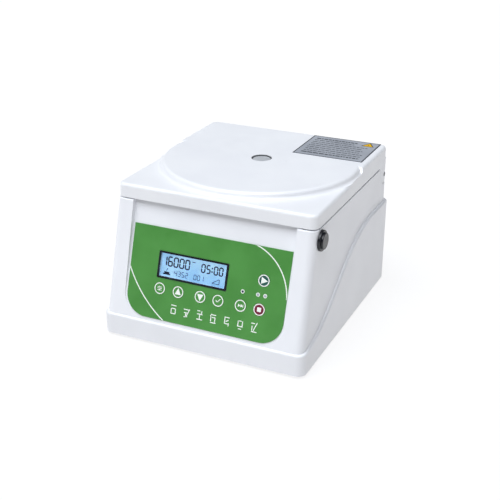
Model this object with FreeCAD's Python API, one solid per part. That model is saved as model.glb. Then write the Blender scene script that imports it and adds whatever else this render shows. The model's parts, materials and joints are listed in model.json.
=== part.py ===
import FreeCAD, Part
import math
import os

# Bench-top high-speed laboratory centrifuge, millimetres.
# X is to the right, Y to the back, Z up. The origin is at the middle of the footprint, on the bench.
# Each function below makes one sub-part in its place; the table at the end names and exports them.

Vector = FreeCAD.Vector
X_AXIS = Vector(1, 0, 0)
Y_AXIS = Vector(0, 1, 0)
Z_AXIS = Vector(0, 0, 1)

# ---- housing ------------------------------------------------------------------------------------
base_width = 271.6          # over the skirt
base_depth = 312.0
half_width = base_width / 2
half_depth = base_depth / 2
housing_bottom = 4.0        # height of the skirt's lower edge, on its feet
wall = 3.5                  # moulded wall of housing and lid
deck_z = 172.0              # top face of the deck under the lid
deck_wall = 4.0
skirt_top = 31.5            # height of the ledge along the front
ledge_drop = 51.0           # from the deck down to the ledge at the back
ledge_rear_top = deck_z - ledge_drop
ledge_round = 2.8
ledge_width = 3.0
sweep_low_y = -half_depth + 100.0           # the two pulls that shape the ledge's sweep up the flank
sweep_high_y = sweep_low_y + 32.0
sweep_end_y = half_depth - 70.0
skirt_corner = 11.0
upper_bottom = 25.0         # lower end of the upper body, hidden in the skirt
upper_half_low = half_width - ledge_width
flank_lean = 1.3            # how much narrower the upper body is at the deck, on each side
upper_half_top = upper_half_low - flank_lean
upper_rear_low = half_depth - 3.1
rear_lean = 0.7
upper_rear_top = upper_rear_low - rear_lean
upper_corner = 10.0
deck_edge_round = 1.5
rear_edge_round = 7.0       # the lid's rear wall swings round this edge

# ---- control panel, in its own x, s (up the slope), n (outwards) frame ----------------------------
panel_foot_z = 34.0
panel_foot_y = -half_depth + 3.27
pillar_slope = 0.2676       # how far the front goes back per millimetre up
pillar_top_y = panel_foot_y + (deck_z - panel_foot_z) * pillar_slope
panel_top_depth = 7.5       # how deep the panel lies behind the pillars at the deck
pillar_width = 24.8
recess_half = upper_half_low - pillar_width
recess_corner = 31.0
recess_edge = 3.0           # bare plastic between the overlay and the recess
overlay_half = recess_half - recess_edge
overlay_low = 2.0
overlay_high = 115.5
overlay_corner = 28.0
overlay_thick = 0.8
display_x = -19.6
display_s = 70.6
window_width = 88.6
window_height = 28.6
bezel_rim = 2.8
bezel_width = window_width + 2 * bezel_rim
bezel_height = 33.2
bezel_proud = 0.5
display_module_rim = 4.7    # display module beyond the window, on each side
key_ring_radius = 7.6       # hole in the overlay round a key
key_gap = 0.25
key_proud = 0.3
key_travel = 0.5
key_seat_depth = 1.3        # counterbore behind the overlay that a key sinks into
key_stem_radius = 3.5
key_stem_gap = 0.5
key_row_s = 40.8
key_places = {
    "key_settings": (-60.6, key_row_s),
    "key_up": (-35.2, key_row_s),
    "key_down": (-5.2, key_row_s),
    "key_confirm": (18.8, key_row_s),
    "key_pulse": (48.3, key_row_s),
    "key_stop": (72.6, key_row_s),
    "key_start": (73.7, 75.8),
}
led_places = ((48.9, 58.1), (68.6, 58.1), (77.8, 58.1))
led_radius = 1.5
tact_height = 3.7           # switch under a key, with its plunger
tact_gap = 0.1              # left between plunger and stem when a key is fully in
board_behind = 13.6         # front face of the control board, behind the panel's outer face
board_thick = 1.6
board_x = (-80.0, 90.0)
board_s = (26.0, 98.0)
panel_post_radius = 3.5

# ---- lid ---------------------------------------------------------------------------------------------
lid_gap = 1.5               # between the deck and the lid's rim
lid_bottom = deck_z + lid_gap
lid_reveal = 0.3            # how far the lid stays behind the flanks
lid_setback = 1.5           # how far it stays behind the front and the back
lid_half = upper_half_top - lid_reveal
lid_front_y = pillar_top_y + lid_setback
lid_rear_y = upper_rear_top - lid_setback
lid_corner = 10.0
lid_low_z = lid_bottom + 17.5     # top of the front corners
lid_high_z = lid_bottom + 25.0    # top of the round and rear plateau
lid_low_round = 4.0
lid_high_round = 5.0
spin_offset = 8.3           # the rotor axis lies this far behind the lid's middle
spin_y = (lid_front_y + lid_rear_y) / 2 + spin_offset
plateau_margin = 17.3       # from the lid's front edge to the round plateau
plateau_radius = spin_y - lid_front_y - plateau_margin
plateau_slope = 10.5        # width of the S-shaped edge round it
rear_slope = 14.0           # width of the S-shaped edge that runs straight across
rear_plateau_y = spin_y + 25.5    # where the full-width plateau starts to be flat
window_radius = 13.3
window_sunk = 1.6
window_thick = 5.0
window_ledge = 1.5
window_tube_wall = 3.0
liner_lift = 4.0            # liner's underside above the deck
liner_z = deck_z + liner_lift
liner_thick = 2.0
liner_gap = 0.5
lid_boss_radius = 4.5
lid_screw_inset = 19.2
lid_screw_x = lid_half - lid_screw_inset
lid_lock_screw_x = lid_screw_x - 22.0       # the front right screw makes room for the striker
label_width = 95.6
label_depth = 82.2
label_right = lid_half - 7.9
label_rear = lid_rear_y - 5.2
label_thick = 0.4

# ---- chamber, motor and rotor ----------------------------------------------------------------------
bowl_radius = 93.0          # inside
bowl_sheet = 1.5
bowl_height = 72.5
bowl_floor_z = deck_z - bowl_height         # inner face of the bowl's floor
bowl_floor_round = 14.0
bowl_flange_radius = bowl_radius + 9.0
bowl_deck_gap = 0.5
gasket_inner = bowl_radius + 1.0
gasket_width = 6.0
liner_dish_radius = bowl_radius - 5.0
liner_dish_rise = 4.0
dish_flare = 4.0
motor_radius = 42.0
motor_top_z = bowl_floor_z - 11.5
motor_height = 53.5
motor_base_z = motor_top_z - motor_height
motor_neck_radius = 18.0
motor_neck_top = bowl_floor_z + 3.5
neck_lip = 3.0
can_wall = 5.0
can_grooves = 16
bearing_radius = 13.0
bearing_height = 8.0
shaft_radius = 5.0
shaft_room = 1.5            # bore of the can round the shaft
shaft_seat_radius = shaft_radius + 1.0
shaft_thread_radius = shaft_radius - 1.0
push_gap = 0.02             # between rotor or nut and shaft
running_gap = 0.04
damper_radius = 10.0
damper_circle = 58.0
motor_plate_radius = 72.0
motor_plate_thick = 3.0
motor_plate_z = motor_base_z - motor_plate_thick
rotor_lift = 8.5            # clearance under the rotor
rotor_bottom = bowl_floor_z + rotor_lift
rotor_rim_z = rotor_bottom + 42.0
rotor_seat_z = rotor_bottom + 26.0          # top of the rotor's hub, where the nut bears
bowl_clearance = 16.0
rotor_radius = bowl_radius - bowl_clearance
rotor_rim_radius = rotor_radius - 24.0
tube_count = 12
tube_radius = 5.6
tube_mouth_radius = rotor_radius - 35.0     # distance of each mouth's middle from the spin axis
tube_mouth_z = rotor_bottom + 34.0
tube_tilt = 45.0
tube_depth = 36.0
tube_tip_radius = 1.8
nut_radius = 13.0
nut_height = 15.0
hub_radius = nut_radius + 4.0
dish_radius = tube_mouth_radius - 15.0      # where the rotor's dished top turns level
dish_z = tube_mouth_z - tube_mouth_radius + dish_radius

# ---- hinge -------------------------------------------------------------------------------------------
hinge_y = lid_rear_y - 8.2
hinge_z = deck_z - 13.0
hinge_pin_radius = 3.0
pin_end = 0.4               # pin beyond the ear
ear_radius = 12.2
ear_width = 19.2
ear_inner = lid_half - ear_width            # inner side of each ear
ear_front_y = hinge_y - 22.8                # where the ear's slanted edge meets the lid's rim
ear_gap = 0.9
washer_gap = 0.2
notch_inner = ear_inner - 1.0
bracket_thick = 3.0
bracket_gap = 0.1

# ---- lid lock ----------------------------------------------------------------------------------------
lock_y = lid_front_y + 13.3
lock_z = deck_z - 15.0
lock_flange_radius = 12.75
lock_flange_thick = 3.2
lock_face_x = upper_half_top + 0.3
lock_barrel_radius = 7.0
lock_barrel_length = 13.5
lock_nut_thick = 4.0
lock_pin_radius = 4.0
lock_travel = 2.4
lock_stop_gap = 0.2         # left behind the knob when it is fully in
lock_cap_radius = 10.0
lock_cap_gap = 0.2
lock_cap_thick = 2.6
striker_x = lock_face_x - 18.3
striker_thick = 2.0
striker_rest_gap = 0.3      # between the pin's tip and the striker at rest
striker_front = 8.0
striker_rear = 9.0
striker_room = 1.4          # slot in the deck round the striker

# ---- base, feet and rear panel -----------------------------------------------------------------------
plate_z = 4.5
plate_thick = 2.0
plate_top = plate_z + plate_thick
plate_gap = 0.6
foot_x = half_width - 30.8
foot_y = half_depth - 34.0
foot_radius = 13.0
foot_seat_z = 3.2           # where a foot's screw bears, inside the foot
foot_well_radius = 3.6      # room for the screw's head
boss_radius = 5.5
boss_x = half_width - wall - 5.0
boss_y = half_depth - 31.0
boss_top = 24.0
boss_y_places = (-boss_y, 0.0, boss_y)
rib_half = 2.5
screw_radius = 1.5
screw_gap = 0.05
clear_gap = 0.3             # round a screw in a sheet or foot
rear_half = 88.0
rear_low = 16.0
rear_high = 98.0
rear_sunk = 6.0
rear_face_y = half_depth - rear_sunk        # outer face of the steel rear panel, sunk behind the skirt
rear_thick = 1.5
rear_gap = 0.3
rear_frame = 7.0            # width of the ledge that the rear panel is screwed to
inlet_x = 60.0
inlet_z = 58.0
inlet_width = 27.0
inlet_height = 47.0
inlet_depth = 26.0
switch_x = 22.0
switch_z = 58.0
switch_half = 9.5           # half the width of the switch's body
switch_rise = 13.5          # half its height
switch_pivot_y = rear_face_y - 4.0
switch_pivot_radius = 1.5
switch_tilt = 8.0
cutout_gap = 0.2            # round the inlet and the switch in the rear panel
vent_slots = 9
vent_pitch = 7.0
vent_height = 3.0
intake_x = half_width - 37.8
intake_slots = 6
intake_pitch = 12.0

# ---- circuit boards ------------------------------------------------------------------------------------
board_lift = 6.0
driver_board_z = plate_top + board_lift
board_top_z = driver_board_z + board_thick
board_front_y = -half_depth + 23.0
power_board_box = (-118.0, -18.0, board_front_y, board_front_y + 55.0)
driver_board_box = (0.0, 112.0, board_front_y, board_front_y + 61.0)
lead_low_z = 20.0           # height of the leads along the floor

panel_tilt = math.degrees(math.atan2(pillar_top_y + panel_top_depth - panel_foot_y, deck_z - panel_foot_z))
panel_placement = FreeCAD.Placement(
    Vector(0, panel_foot_y, panel_foot_z), FreeCAD.Rotation(X_AXIS, 90 - panel_tilt)
)
flange_sheet_top = deck_z + bowl_sheet


# ---- helpers -------------------------------------------------------------------------------------------
def block(x0, x1, y0, y1, z0, z1):
    return Part.makeBox(x1 - x0, y1 - y0, z1 - z0, Vector(x0, y0, z0))


def rod(x, y, z, radius, length, axis=Z_AXIS):
    return Part.makeCylinder(radius, length, Vector(x, y, z), axis)


def ring(x, y, z, outer, inner, length, axis=Z_AXIS):
    return rod(x, y, z, outer, length, axis).cut(rod(x, y, z, inner, length, axis))


def joined(shapes):
    first = shapes[0]
    return first.multiFuse(shapes[1:]).removeSplitter() if len(shapes) > 1 else first


def rounded(shape, radius, wanted):
    return shape.makeFillet(radius, [edge for edge in shape.Edges if wanted(edge)])


def stands(edge, least):
    low, high = sorted(vertex.Z for vertex in (edge.Vertexes[0], edge.Vertexes[-1]))
    return high - low > least


def rounded_block(x0, x1, y0, y1, z0, z1, corner):
    return rounded(block(x0, x1, y0, y1, z0, z1), corner, lambda edge: stands(edge, (z1 - z0) / 2))


def side_prism(points, half, curve=None):
    """A Y-Z outline carried across X from -half to half; a curve may join the last point to the first."""
    corners = [Vector(-half, y, z) for y, z in points]
    edges = [Part.LineSegment(a, b).toShape() for a, b in zip(corners, corners[1:])]
    edges.append(curve if curve else Part.LineSegment(corners[-1], corners[0]).toShape())
    return Part.Face(Part.Wire(edges)).extrude(Vector(2 * half, 0, 0))


def turned(points, y=spin_y):
    """A closed r-z outline turned about the vertical axis at (0, y)."""
    corners = [Vector(r, 0, z) for r, z in points]
    face = Part.Face(Part.makePolygon(corners + corners[:1]))
    solid = face.revolve(Vector(0, 0, 0), Z_AXIS, 360)
    solid.translate(Vector(0, y, 0))
    return solid


def on_panel(shape):
    moved = shape.copy()
    moved.Placement = panel_placement.multiply(moved.Placement)
    return moved


def mirrored(shape):
    return shape.mirror(Vector(0, 0, 0), X_AXIS)


def both_sides(shape):
    return Part.makeCompound([shape, mirrored(shape)])


def screw(x, y, z, axis, length, radius=screw_radius, head_radius=2.8, head_height=1.6):
    """Pan-head screw: (x, y, z) is where the head bears, and axis points from the tip towards the head."""
    place = Vector(x, y, z)
    head = Part.makeCylinder(head_radius, head_height, place, axis)
    head = rounded(head, head_height * 0.45, lambda edge: len(edge.Vertexes) == 1
                   and edge.CenterOfMass.sub(place).dot(axis) > head_height / 2)
    shank = Part.makeCylinder(radius, length, place - axis * length, axis)
    reach = head_radius * 0.6
    half_slot = head_radius * 0.14
    slot = block(-reach, reach, -half_slot, half_slot, 0, head_height)
    cross = slot.fuse(slot.rotated(Vector(0, 0, 0), Z_AXIS, 90))
    cross.Placement = FreeCAD.Placement(place + axis * head_height * 0.45, FreeCAD.Rotation(Z_AXIS, axis))
    return head.fuse(shank).cut(cross).removeSplitter()


def lead(points, radius):
    """A round lead along straight runs joined by tangent arcs, each as large as its two runs allow."""
    corners = [Vector(*p) for p in points]
    start = corners[0]
    edges = []
    for before, corner, after in zip(corners, corners[1:], corners[2:]):
        run_in = corner - before
        run_out = after - corner
        turn = run_in.getAngle(run_out)
        reach = 0.45 * min(run_in.Length, run_out.Length)
        bend = reach / math.tan(turn / 2)
        a = corner - run_in.normalize() * reach
        b = corner + run_out.normalize() * reach
        middle_way = (a + b) * 0.5 - corner
        centre = corner + middle_way.normalize() * math.hypot(bend, reach)
        middle = centre + (corner - centre).normalize() * bend
        edges += [Part.LineSegment(start, a).toShape(), Part.Arc(a, middle, b).toShape()]
        start = b
    edges.append(Part.LineSegment(start, corners[-1]).toShape())
    path = Part.Wire(edges)
    first = corners[1] - corners[0]
    section = Part.Wire(Part.makeCircle(radius, corners[0], first))
    return path.makePipeShell([section], True, False)


# ---- housing ---------------------------------------------------------------------------------------------
def pillar_y(z):
    return pillar_top_y - (deck_z - z) * pillar_slope


def upper_body(inset):
    top = deck_z - (deck_wall if inset else 0)
    low = upper_bottom
    outline = [
        (pillar_y(low) + inset, low),
        (pillar_y(top) + inset, top),
        (upper_rear_top - inset, top),
        (upper_rear_low - inset, low),
    ]
    body = side_prism(outline, half_width + 10)
    flank = Part.makePolygon([
        Vector(-upper_half_low + inset, 0, low),
        Vector(upper_half_low - inset, 0, low),
        Vector(upper_half_top - inset, 0, top),
        Vector(-upper_half_top + inset, 0, top),
        Vector(-upper_half_low + inset, 0, low),
    ])
    flanks = Part.Face(flank).extrude(Vector(0, 2 * base_depth, 0))
    flanks.translate(Vector(0, -base_depth, 0))
    body = body.common(flanks)
    body = rounded(body, upper_corner - inset, lambda edge: stands(edge, 50))
    if inset:
        return body
    body = rounded(body, deck_edge_round, lambda edge: edge.CenterOfMass.z > top - 0.1
                   and edge.CenterOfMass.y < pillar_top_y + upper_corner)
    return body.cut(rear_round_tool())


def rear_round_tool():
    """Cut off the deck's rear edge, between the hinges, so that the lid's rear wall can swing past."""
    half = notch_inner + 1
    y = upper_rear_top + rear_edge_round * (upper_rear_low - upper_rear_top) / (deck_z - upper_bottom)
    y -= rear_edge_round
    z = deck_z - rear_edge_round
    corner = block(-half, half, y, y + rear_edge_round + 2, z, deck_z + 2)
    return corner.cut(rod(-half - 1, y, z, rear_edge_round, 2 * half + 2, X_AXIS))


def lower_body(inset, drop=0.0):
    """The skirt, whose ledge sweeps up both flanks from the front edge to the back."""
    front = -half_depth + inset
    rear = half_depth - inset
    front_top = skirt_top - inset
    rear_top = ledge_rear_top - inset
    half = half_width - inset
    low = housing_bottom - drop
    sweep = Part.BezierCurve()
    sweep.setPoles([
        Vector(-half, front, front_top),
        Vector(-half, sweep_low_y, front_top + 2.0),
        Vector(-half, sweep_high_y, rear_top - 2.0),
        Vector(-half, sweep_end_y, rear_top),
    ])
    outline = [(sweep_end_y, rear_top), (rear, rear_top), (rear, low), (front, low), (front, front_top)]
    body = side_prism(outline, half, sweep.toShape())
    body = rounded(body, skirt_corner - inset, lambda edge: stands(edge, 10)
                   and abs(edge.CenterOfMass.x) > half - 1
                   and abs(edge.CenterOfMass.y) > half_depth - inset - 1)
    if inset:
        return body
    return rounded(body, ledge_round, lambda edge: edge.CenterOfMass.z > front_top - 0.1
                   and edge.CenterOfMass.y < front + 0.1)


def recess_tool(grow=0.0):
    """The space in front of the control panel, or that space with walls of thickness grow round it."""
    half = recess_half + grow
    tool = block(-half, half, -grow, deck_z, -grow, 40)
    tool = rounded(tool, recess_corner + grow, lambda edge: edge.BoundBox.ZLength > 20
                   and edge.CenterOfMass.y < 1)
    return on_panel(tool)


def ear_outline(grow=0.0):
    """Side view of an ear, or of the notch it turns in, as straight edges tangent to the round end."""
    radius = ear_radius + grow
    corner = (ear_front_y - grow * 1.2, lid_bottom)
    dy = corner[0] - hinge_y
    dz = corner[1] - hinge_z
    reach = math.hypot(dy, dz)
    angle = math.atan2(dz, dy) + math.acos(radius / reach)
    tangent = (hinge_y + radius * math.cos(angle), hinge_z + radius * math.sin(angle))
    return corner, tangent, radius


def ear_solid(x0, x1, grow, rear, top):
    corner, tangent, radius = ear_outline(grow)
    outline = [
        (corner[0], top), corner, tangent, (hinge_y, hinge_z), (rear, hinge_z), (rear, top),
    ]
    flat = block(x0, x1, 0, base_depth, 0, 2 * deck_z).common(side_prism(outline, base_width))
    end = rod(x0, hinge_y, hinge_z, radius, x1 - x0, X_AXIS)
    return flat.fuse(end).removeSplitter()


def notch_tool(grow=0.0):
    """Where a lid ear turns, at the right rear corner; grow thickens it into the pocket's walls."""
    notch = ear_solid(notch_inner - grow, half_width + 10, ear_gap + grow, half_depth + 10, deck_z + 20)
    behind = block(notch_inner - grow, half_width + 10, hinge_y + 2.5 - grow, half_depth + 10,
                   hinge_z - 9.5 - grow, deck_z + 20)
    return notch.fuse(behind)


def boss_places():
    return [(side * boss_x, y) for y in boss_y_places for side in (-1, 1)]


def panel_post_places():
    return [(x, s) for x in (board_x[0] + 5, board_x[1] - 5) for s in (board_s[0] + 5, board_s[1] - 5)]


def rear_screw_places():
    side = rear_half - 4
    return [(x, z) for x in (-side, 0, side) for z in (rear_low + 4, rear_high - 4)]


def housing_shell():
    outer = upper_body(0).fuse(lower_body(0))
    cavity = upper_body(wall).fuse(lower_body(wall, 5))
    notches = notch_tool().fuse(mirrored(notch_tool()))
    pockets = notch_tool(wall).fuse(mirrored(notch_tool(wall)))
    frame_depth = half_depth - wall - rear_face_y + rear_thick + 3
    rear_pad = block(-rear_half - 3, rear_half + 3, half_depth - wall - frame_depth, half_depth,
                     rear_low - 3, rear_high + 3)
    cavity = cavity.cut(recess_tool(wall)).cut(pockets).cut(rear_pad)
    shell = outer.cut(cavity).cut(notches).cut(recess_tool())
    shell = shell.cut(block(-rear_half - rear_gap, rear_half + rear_gap, rear_face_y - rear_thick,
                            half_depth + 5, rear_low - rear_gap, rear_high + rear_gap))
    shell = shell.cut(block(-rear_half + rear_frame, rear_half - rear_frame, rear_face_y - 50, half_depth + 5,
                            rear_low + rear_frame, rear_high - rear_frame))
    bosses = [rod(x, y, plate_top, boss_radius, boss_top - plate_top) for x, y in boss_places()]
    rib_end = half_width - wall + 0.7
    rib = block(boss_x, rib_end, -rib_half, rib_half, plate_top, boss_top)
    ribs = [one.translated(Vector(0, y, 0)) for y in boss_y_places for one in (rib, mirrored(rib))]
    posts = [
        on_panel(rod(x, s, -board_behind, panel_post_radius, board_behind - wall + 0.5))
        for x, s in panel_post_places()
    ]
    shell = joined([shell] + bosses + ribs + posts)
    holes = [rod(x, y, plate_top - 1, screw_radius + screw_gap, 15) for x, y in boss_places()]
    holes += [on_panel(rod(x, s, -board_behind, screw_radius + screw_gap, 8)) for x, s in panel_post_places()]
    holes += [
        rod(x, rear_face_y - 8, z, screw_radius + screw_gap, 20, Y_AXIS) for x, z in rear_screw_places()
    ]
    holes.append(rod(0, spin_y, deck_z - 20, bowl_radius + bowl_sheet + bowl_deck_gap, 40))
    holes += [on_panel(rod(x, s, -key_seat_depth, key_ring_radius + 0.2, 3)) for x, s in key_places.values()]
    holes += [
        on_panel(rod(x, s, -8, key_stem_radius + key_stem_gap, 10)) for x, s in key_places.values()
    ]
    holes += [on_panel(rod(x, s, -8, led_radius + 0.1, 10)) for x, s in led_places]
    holes.append(on_panel(block(display_x - window_width / 2, display_x + window_width / 2,
                                display_s - window_height / 2, display_s + window_height / 2, -8, 2)))
    holes.append(rod(lock_face_x - 12, lock_y, lock_z, lock_barrel_radius + 0.2, 30, X_AXIS))
    holes.append(block(striker_x - striker_room, striker_x + striker_thick + striker_room,
                       lock_y - striker_front - striker_room, lock_y + striker_rear + striker_room,
                       deck_z - 8, deck_z + 2))
    pin_hole = rod(notch_inner - wall - 2, hinge_y, hinge_z, hinge_pin_radius + 0.2, wall + 4, X_AXIS)
    holes += [pin_hole, mirrored(pin_hole)]
    for hole in holes:
        shell = shell.cut(hole)
    return shell


def base_plate():
    side = half_width - wall - plate_gap
    end = half_depth - wall - plate_gap
    plate = rounded_block(-side, side, -end, end, plate_z, plate_top, skirt_corner - wall)
    screw_places = boss_places() + foot_places() + damper_places()
    holes = [rod(x, y, plate_z - 1, screw_radius + clear_gap, 5) for x, y in screw_places]
    for row in range(intake_slots):
        for x in (-intake_x, intake_x):
            y = (row - (intake_slots - 1) / 2) * intake_pitch
            holes.append(rounded_block(x - 14, x + 14, y - 2, y + 2, plate_z - 1, plate_top + 1, 1.9))
    return plate.cut(Part.makeCompound(holes))


def foot_places():
    return [(side * foot_x, end * foot_y) for end in (-1, 1) for side in (-1, 1)]


def rubber_feet():
    outline = [
        (foot_well_radius, 1.2), (8.0, 0.0), (foot_radius - 1.5, 0.0), (foot_radius - 0.5, 0.8),
        (foot_radius - 1.8, plate_z), (screw_radius + clear_gap, plate_z),
        (screw_radius + clear_gap, foot_seat_z), (foot_well_radius, foot_seat_z),
    ]
    feet = []
    for x, y in foot_places():
        foot = turned(outline, 0)
        foot.translate(Vector(x, y, 0))
        feet.append(foot)
    return Part.makeCompound(feet)


def housing_screws():
    """Every small screw of the housing: base plate, feet, dampers, rear panel and control board."""
    below = Z_AXIS * -1
    screws = [screw(x, y, plate_z, below, 12.0) for x, y in boss_places()]
    screws += [screw(x, y, foot_seat_z, below, 5.0) for x, y in foot_places()]
    screws += [screw(x, y, plate_z, below, 8.0) for x, y in damper_places()]
    screws += [screw(x, rear_face_y, z, Y_AXIS, 7.0) for x, z in rear_screw_places()]
    screws += [on_panel(screw(x, s, -board_behind - board_thick, below, 8.0)) for x, s in panel_post_places()]
    return Part.makeCompound(screws)


# ---- rear panel and mains parts -----------------------------------------------------------------------
def rear_panel():
    low_y = rear_face_y - rear_thick
    plate = block(-rear_half, rear_half, low_y, rear_face_y, rear_low, rear_high)
    holes = [rod(x, low_y - 1, z, screw_radius + 0.2, 5, Y_AXIS) for x, z in rear_screw_places()]
    for x, z, half, rise in ((inlet_x, inlet_z, inlet_width / 2, inlet_height / 2),
                             (switch_x, switch_z, switch_half, switch_rise)):
        half += cutout_gap
        rise += cutout_gap
        holes.append(block(x - half, x + half, low_y - 1, rear_face_y + 1, z - rise, z + rise))
    for row in range(vent_slots):
        z = (rear_low + rear_high) / 2 + (row - (vent_slots - 1) / 2) * vent_pitch
        for x0, x1 in ((-77.0, -45.0), (-38.0, -6.0)):
            holes.append(block(x0, x1, low_y - 1, rear_face_y + 1, z - vent_height / 2, z + vent_height / 2))
    return plate.cut(Part.makeCompound(holes))


def power_inlet():
    """Panel inlet with a three-pin socket above and room for a fuse drawer below."""
    low = inlet_z - inlet_height / 2
    high = inlet_z + inlet_height / 2
    flange = block(inlet_x - 16, inlet_x + 16, rear_face_y, rear_face_y + 2.2, low - 3, high + 3)
    flange = rounded(flange, 3.0, lambda edge: edge.BoundBox.YLength > 2)
    body = block(inlet_x - inlet_width / 2, inlet_x + inlet_width / 2, rear_face_y - inlet_depth,
                 rear_face_y + 1, low, high)
    socket = block(inlet_x - 12, inlet_x + 12, rear_face_y - 14, rear_face_y + 5, high - 20.5, high - 4)
    socket = socket.makeChamfer(4.0, [edge for edge in socket.Edges if edge.BoundBox.YLength > 10
                                      and edge.CenterOfMass.z > high - 6])
    drawer = block(inlet_x - 10, inlet_x + 10, rear_face_y - 20, rear_face_y + 5, low + 3, low + 17)
    return flange.fuse(body).removeSplitter().cut(socket).cut(drawer).cut(inlet_pins())


def inlet_pins():
    high = inlet_z + inlet_height / 2
    middle = high - 12.25
    pins = []
    for x, z in ((inlet_x - 7, middle - 1), (inlet_x + 7, middle - 1), (inlet_x, middle + 3)):
        pin = block(x - 1, x + 1, rear_face_y - 30, rear_face_y - 3, z - 2, z + 2)
        pins.append(pin)
    return Part.makeCompound(pins)


def fuse_drawer():
    low = inlet_z - inlet_height / 2
    face = block(inlet_x - 9.8, inlet_x + 9.8, rear_face_y - 19, rear_face_y + 2.0, low + 3.2, low + 16.8)
    grip = block(inlet_x - 4, inlet_x + 4, rear_face_y + 0.8, rear_face_y + 3, low + 13, low + 15.2)
    return face.cut(grip)


def switch_body():
    rim = switch_half + 2.0
    rim_rise = switch_rise + 2.5
    well_half = switch_half - 2.0
    well_rise = switch_rise - 1.5
    frame = block(switch_x - rim, switch_x + rim, rear_face_y, rear_face_y + 1.8,
                  switch_z - rim_rise, switch_z + rim_rise)
    frame = rounded(frame, 2.0, lambda edge: edge.BoundBox.YLength > 1.5)
    body = block(switch_x - switch_half, switch_x + switch_half, rear_face_y - 20, rear_face_y + 1,
                 switch_z - switch_rise, switch_z + switch_rise)
    well = block(switch_x - well_half, switch_x + well_half, rear_face_y - 12, rear_face_y + 5,
                 switch_z - well_rise, switch_z + well_rise)
    pivot = rod(switch_x - well_half, switch_pivot_y, switch_z, switch_pivot_radius, 2 * well_half, X_AXIS)
    return frame.fuse(body).removeSplitter().cut(well).fuse(pivot).removeSplitter()


def switch_rocker():
    """The rocker in its on position: its upper half is pressed in."""
    back = rear_face_y - 7.5
    outline = [
        (back, switch_z - 6), (back, switch_z + 6), (rear_face_y + 1.6, switch_z + 11.2),
        (rear_face_y + 3.4, switch_z + 10.6), (rear_face_y + 2.2, switch_z),
        (rear_face_y + 3.4, switch_z - 10.6), (rear_face_y + 1.6, switch_z - 11.2),
    ]
    rocker = side_prism(outline, 7.2)
    rocker.translate(Vector(switch_x, 0, 0))
    bore = switch_pivot_radius + running_gap
    rocker = rocker.cut(rod(switch_x - 8, switch_pivot_y, switch_z, bore, 16, X_AXIS))
    return rocker.rotated(Vector(switch_x, switch_pivot_y, switch_z), X_AXIS, switch_tilt)


# ---- control panel parts ------------------------------------------------------------------------------
def membrane_overlay():
    sheet = block(-overlay_half, overlay_half, overlay_low, overlay_high, 0, overlay_thick)
    sheet = rounded(sheet, overlay_corner, lambda edge: edge.BoundBox.ZLength > 0.5
                    and edge.CenterOfMass.y < overlay_low + 1)
    holes = [rod(x, s, -1, key_ring_radius, 3) for x, s in key_places.values()]
    holes += [rod(x, s, -1, led_radius + 0.1, 3) for x, s in led_places]
    holes.append(block(display_x - bezel_width / 2 - 0.1, display_x + bezel_width / 2 + 0.1,
                       display_s - bezel_height / 2 - 0.1, display_s + bezel_height / 2 + 0.1, -1, 2))
    return on_panel(sheet.cut(Part.makeCompound(holes)))


def display_bezel():
    top = overlay_thick + bezel_proud
    frame = block(display_x - bezel_width / 2, display_x + bezel_width / 2,
                  display_s - bezel_height / 2, display_s + bezel_height / 2, 0, top)
    frame = rounded(frame, 1.8, lambda edge: edge.BoundBox.ZLength > 0.5)
    opening = block(display_x - window_width / 2, display_x + window_width / 2,
                    display_s - window_height / 2, display_s + window_height / 2, -1, 3)
    return on_panel(frame.cut(opening))


def display_window():
    gap = 0.1
    return on_panel(block(display_x - window_width / 2 + gap, display_x + window_width / 2 - gap,
                          display_s - window_height / 2 + gap, display_s + window_height / 2 - gap, -0.8, 0.4))


def lcd_glass():
    return on_panel(block(display_x - window_width / 2 - 2, display_x + window_width / 2 + 2,
                          display_s - window_height / 2 - 2, display_s + window_height / 2 + 2,
                          -wall - 2.2, -wall - 0.1))


def lcd_module():
    low = -board_behind
    high = -wall - 2.2
    half_x = window_width / 2 + display_module_rim
    half_s = window_height / 2 + display_module_rim
    return on_panel(block(display_x - half_x, display_x + half_x,
                          display_s - half_s, display_s + half_s, low, high))


def panel_key(name):
    x, s = key_places[name]
    cap = rod(x, s, -0.3, key_ring_radius - key_gap, overlay_thick + key_proud + 0.3)
    cap = rounded(cap, key_proud * 0.9, lambda edge: edge.CenterOfMass.z > overlay_thick
                  and len(edge.Vertexes) == 1)
    stem_foot = -board_behind + tact_height + key_travel + tact_gap
    stem = rod(x, s, stem_foot, key_stem_radius, -0.3 - stem_foot)
    return on_panel(cap.fuse(stem).removeSplitter())


def tact_switches():
    bodies = []
    for x, s in key_places.values():
        body = block(x - 3.1, x + 3.1, s - 3.1, s + 3.1, -board_behind, -board_behind + tact_height - 0.3)
        bodies.append(body.fuse(rod(x, s, -board_behind, 1.7, tact_height)).removeSplitter())
    return on_panel(Part.makeCompound(bodies))


def status_leds():
    leds = []
    for x, s in led_places:
        lens = rod(x, s, -board_behind + 1.0, led_radius, board_behind - 1.0 + overlay_thick)
        foot = rod(x, s, -board_behind, led_radius + 0.4, 1.0)
        leds.append(lens.fuse(foot).removeSplitter())
    return on_panel(Part.makeCompound(leds))


def control_board():
    board = block(board_x[0], board_x[1], board_s[0], board_s[1], -board_behind - board_thick, -board_behind)
    holes = [rod(x, s, -board_behind - 3, screw_radius + 0.2, 5) for x, s in panel_post_places()]
    return on_panel(board.cut(Part.makeCompound(holes)))


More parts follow.
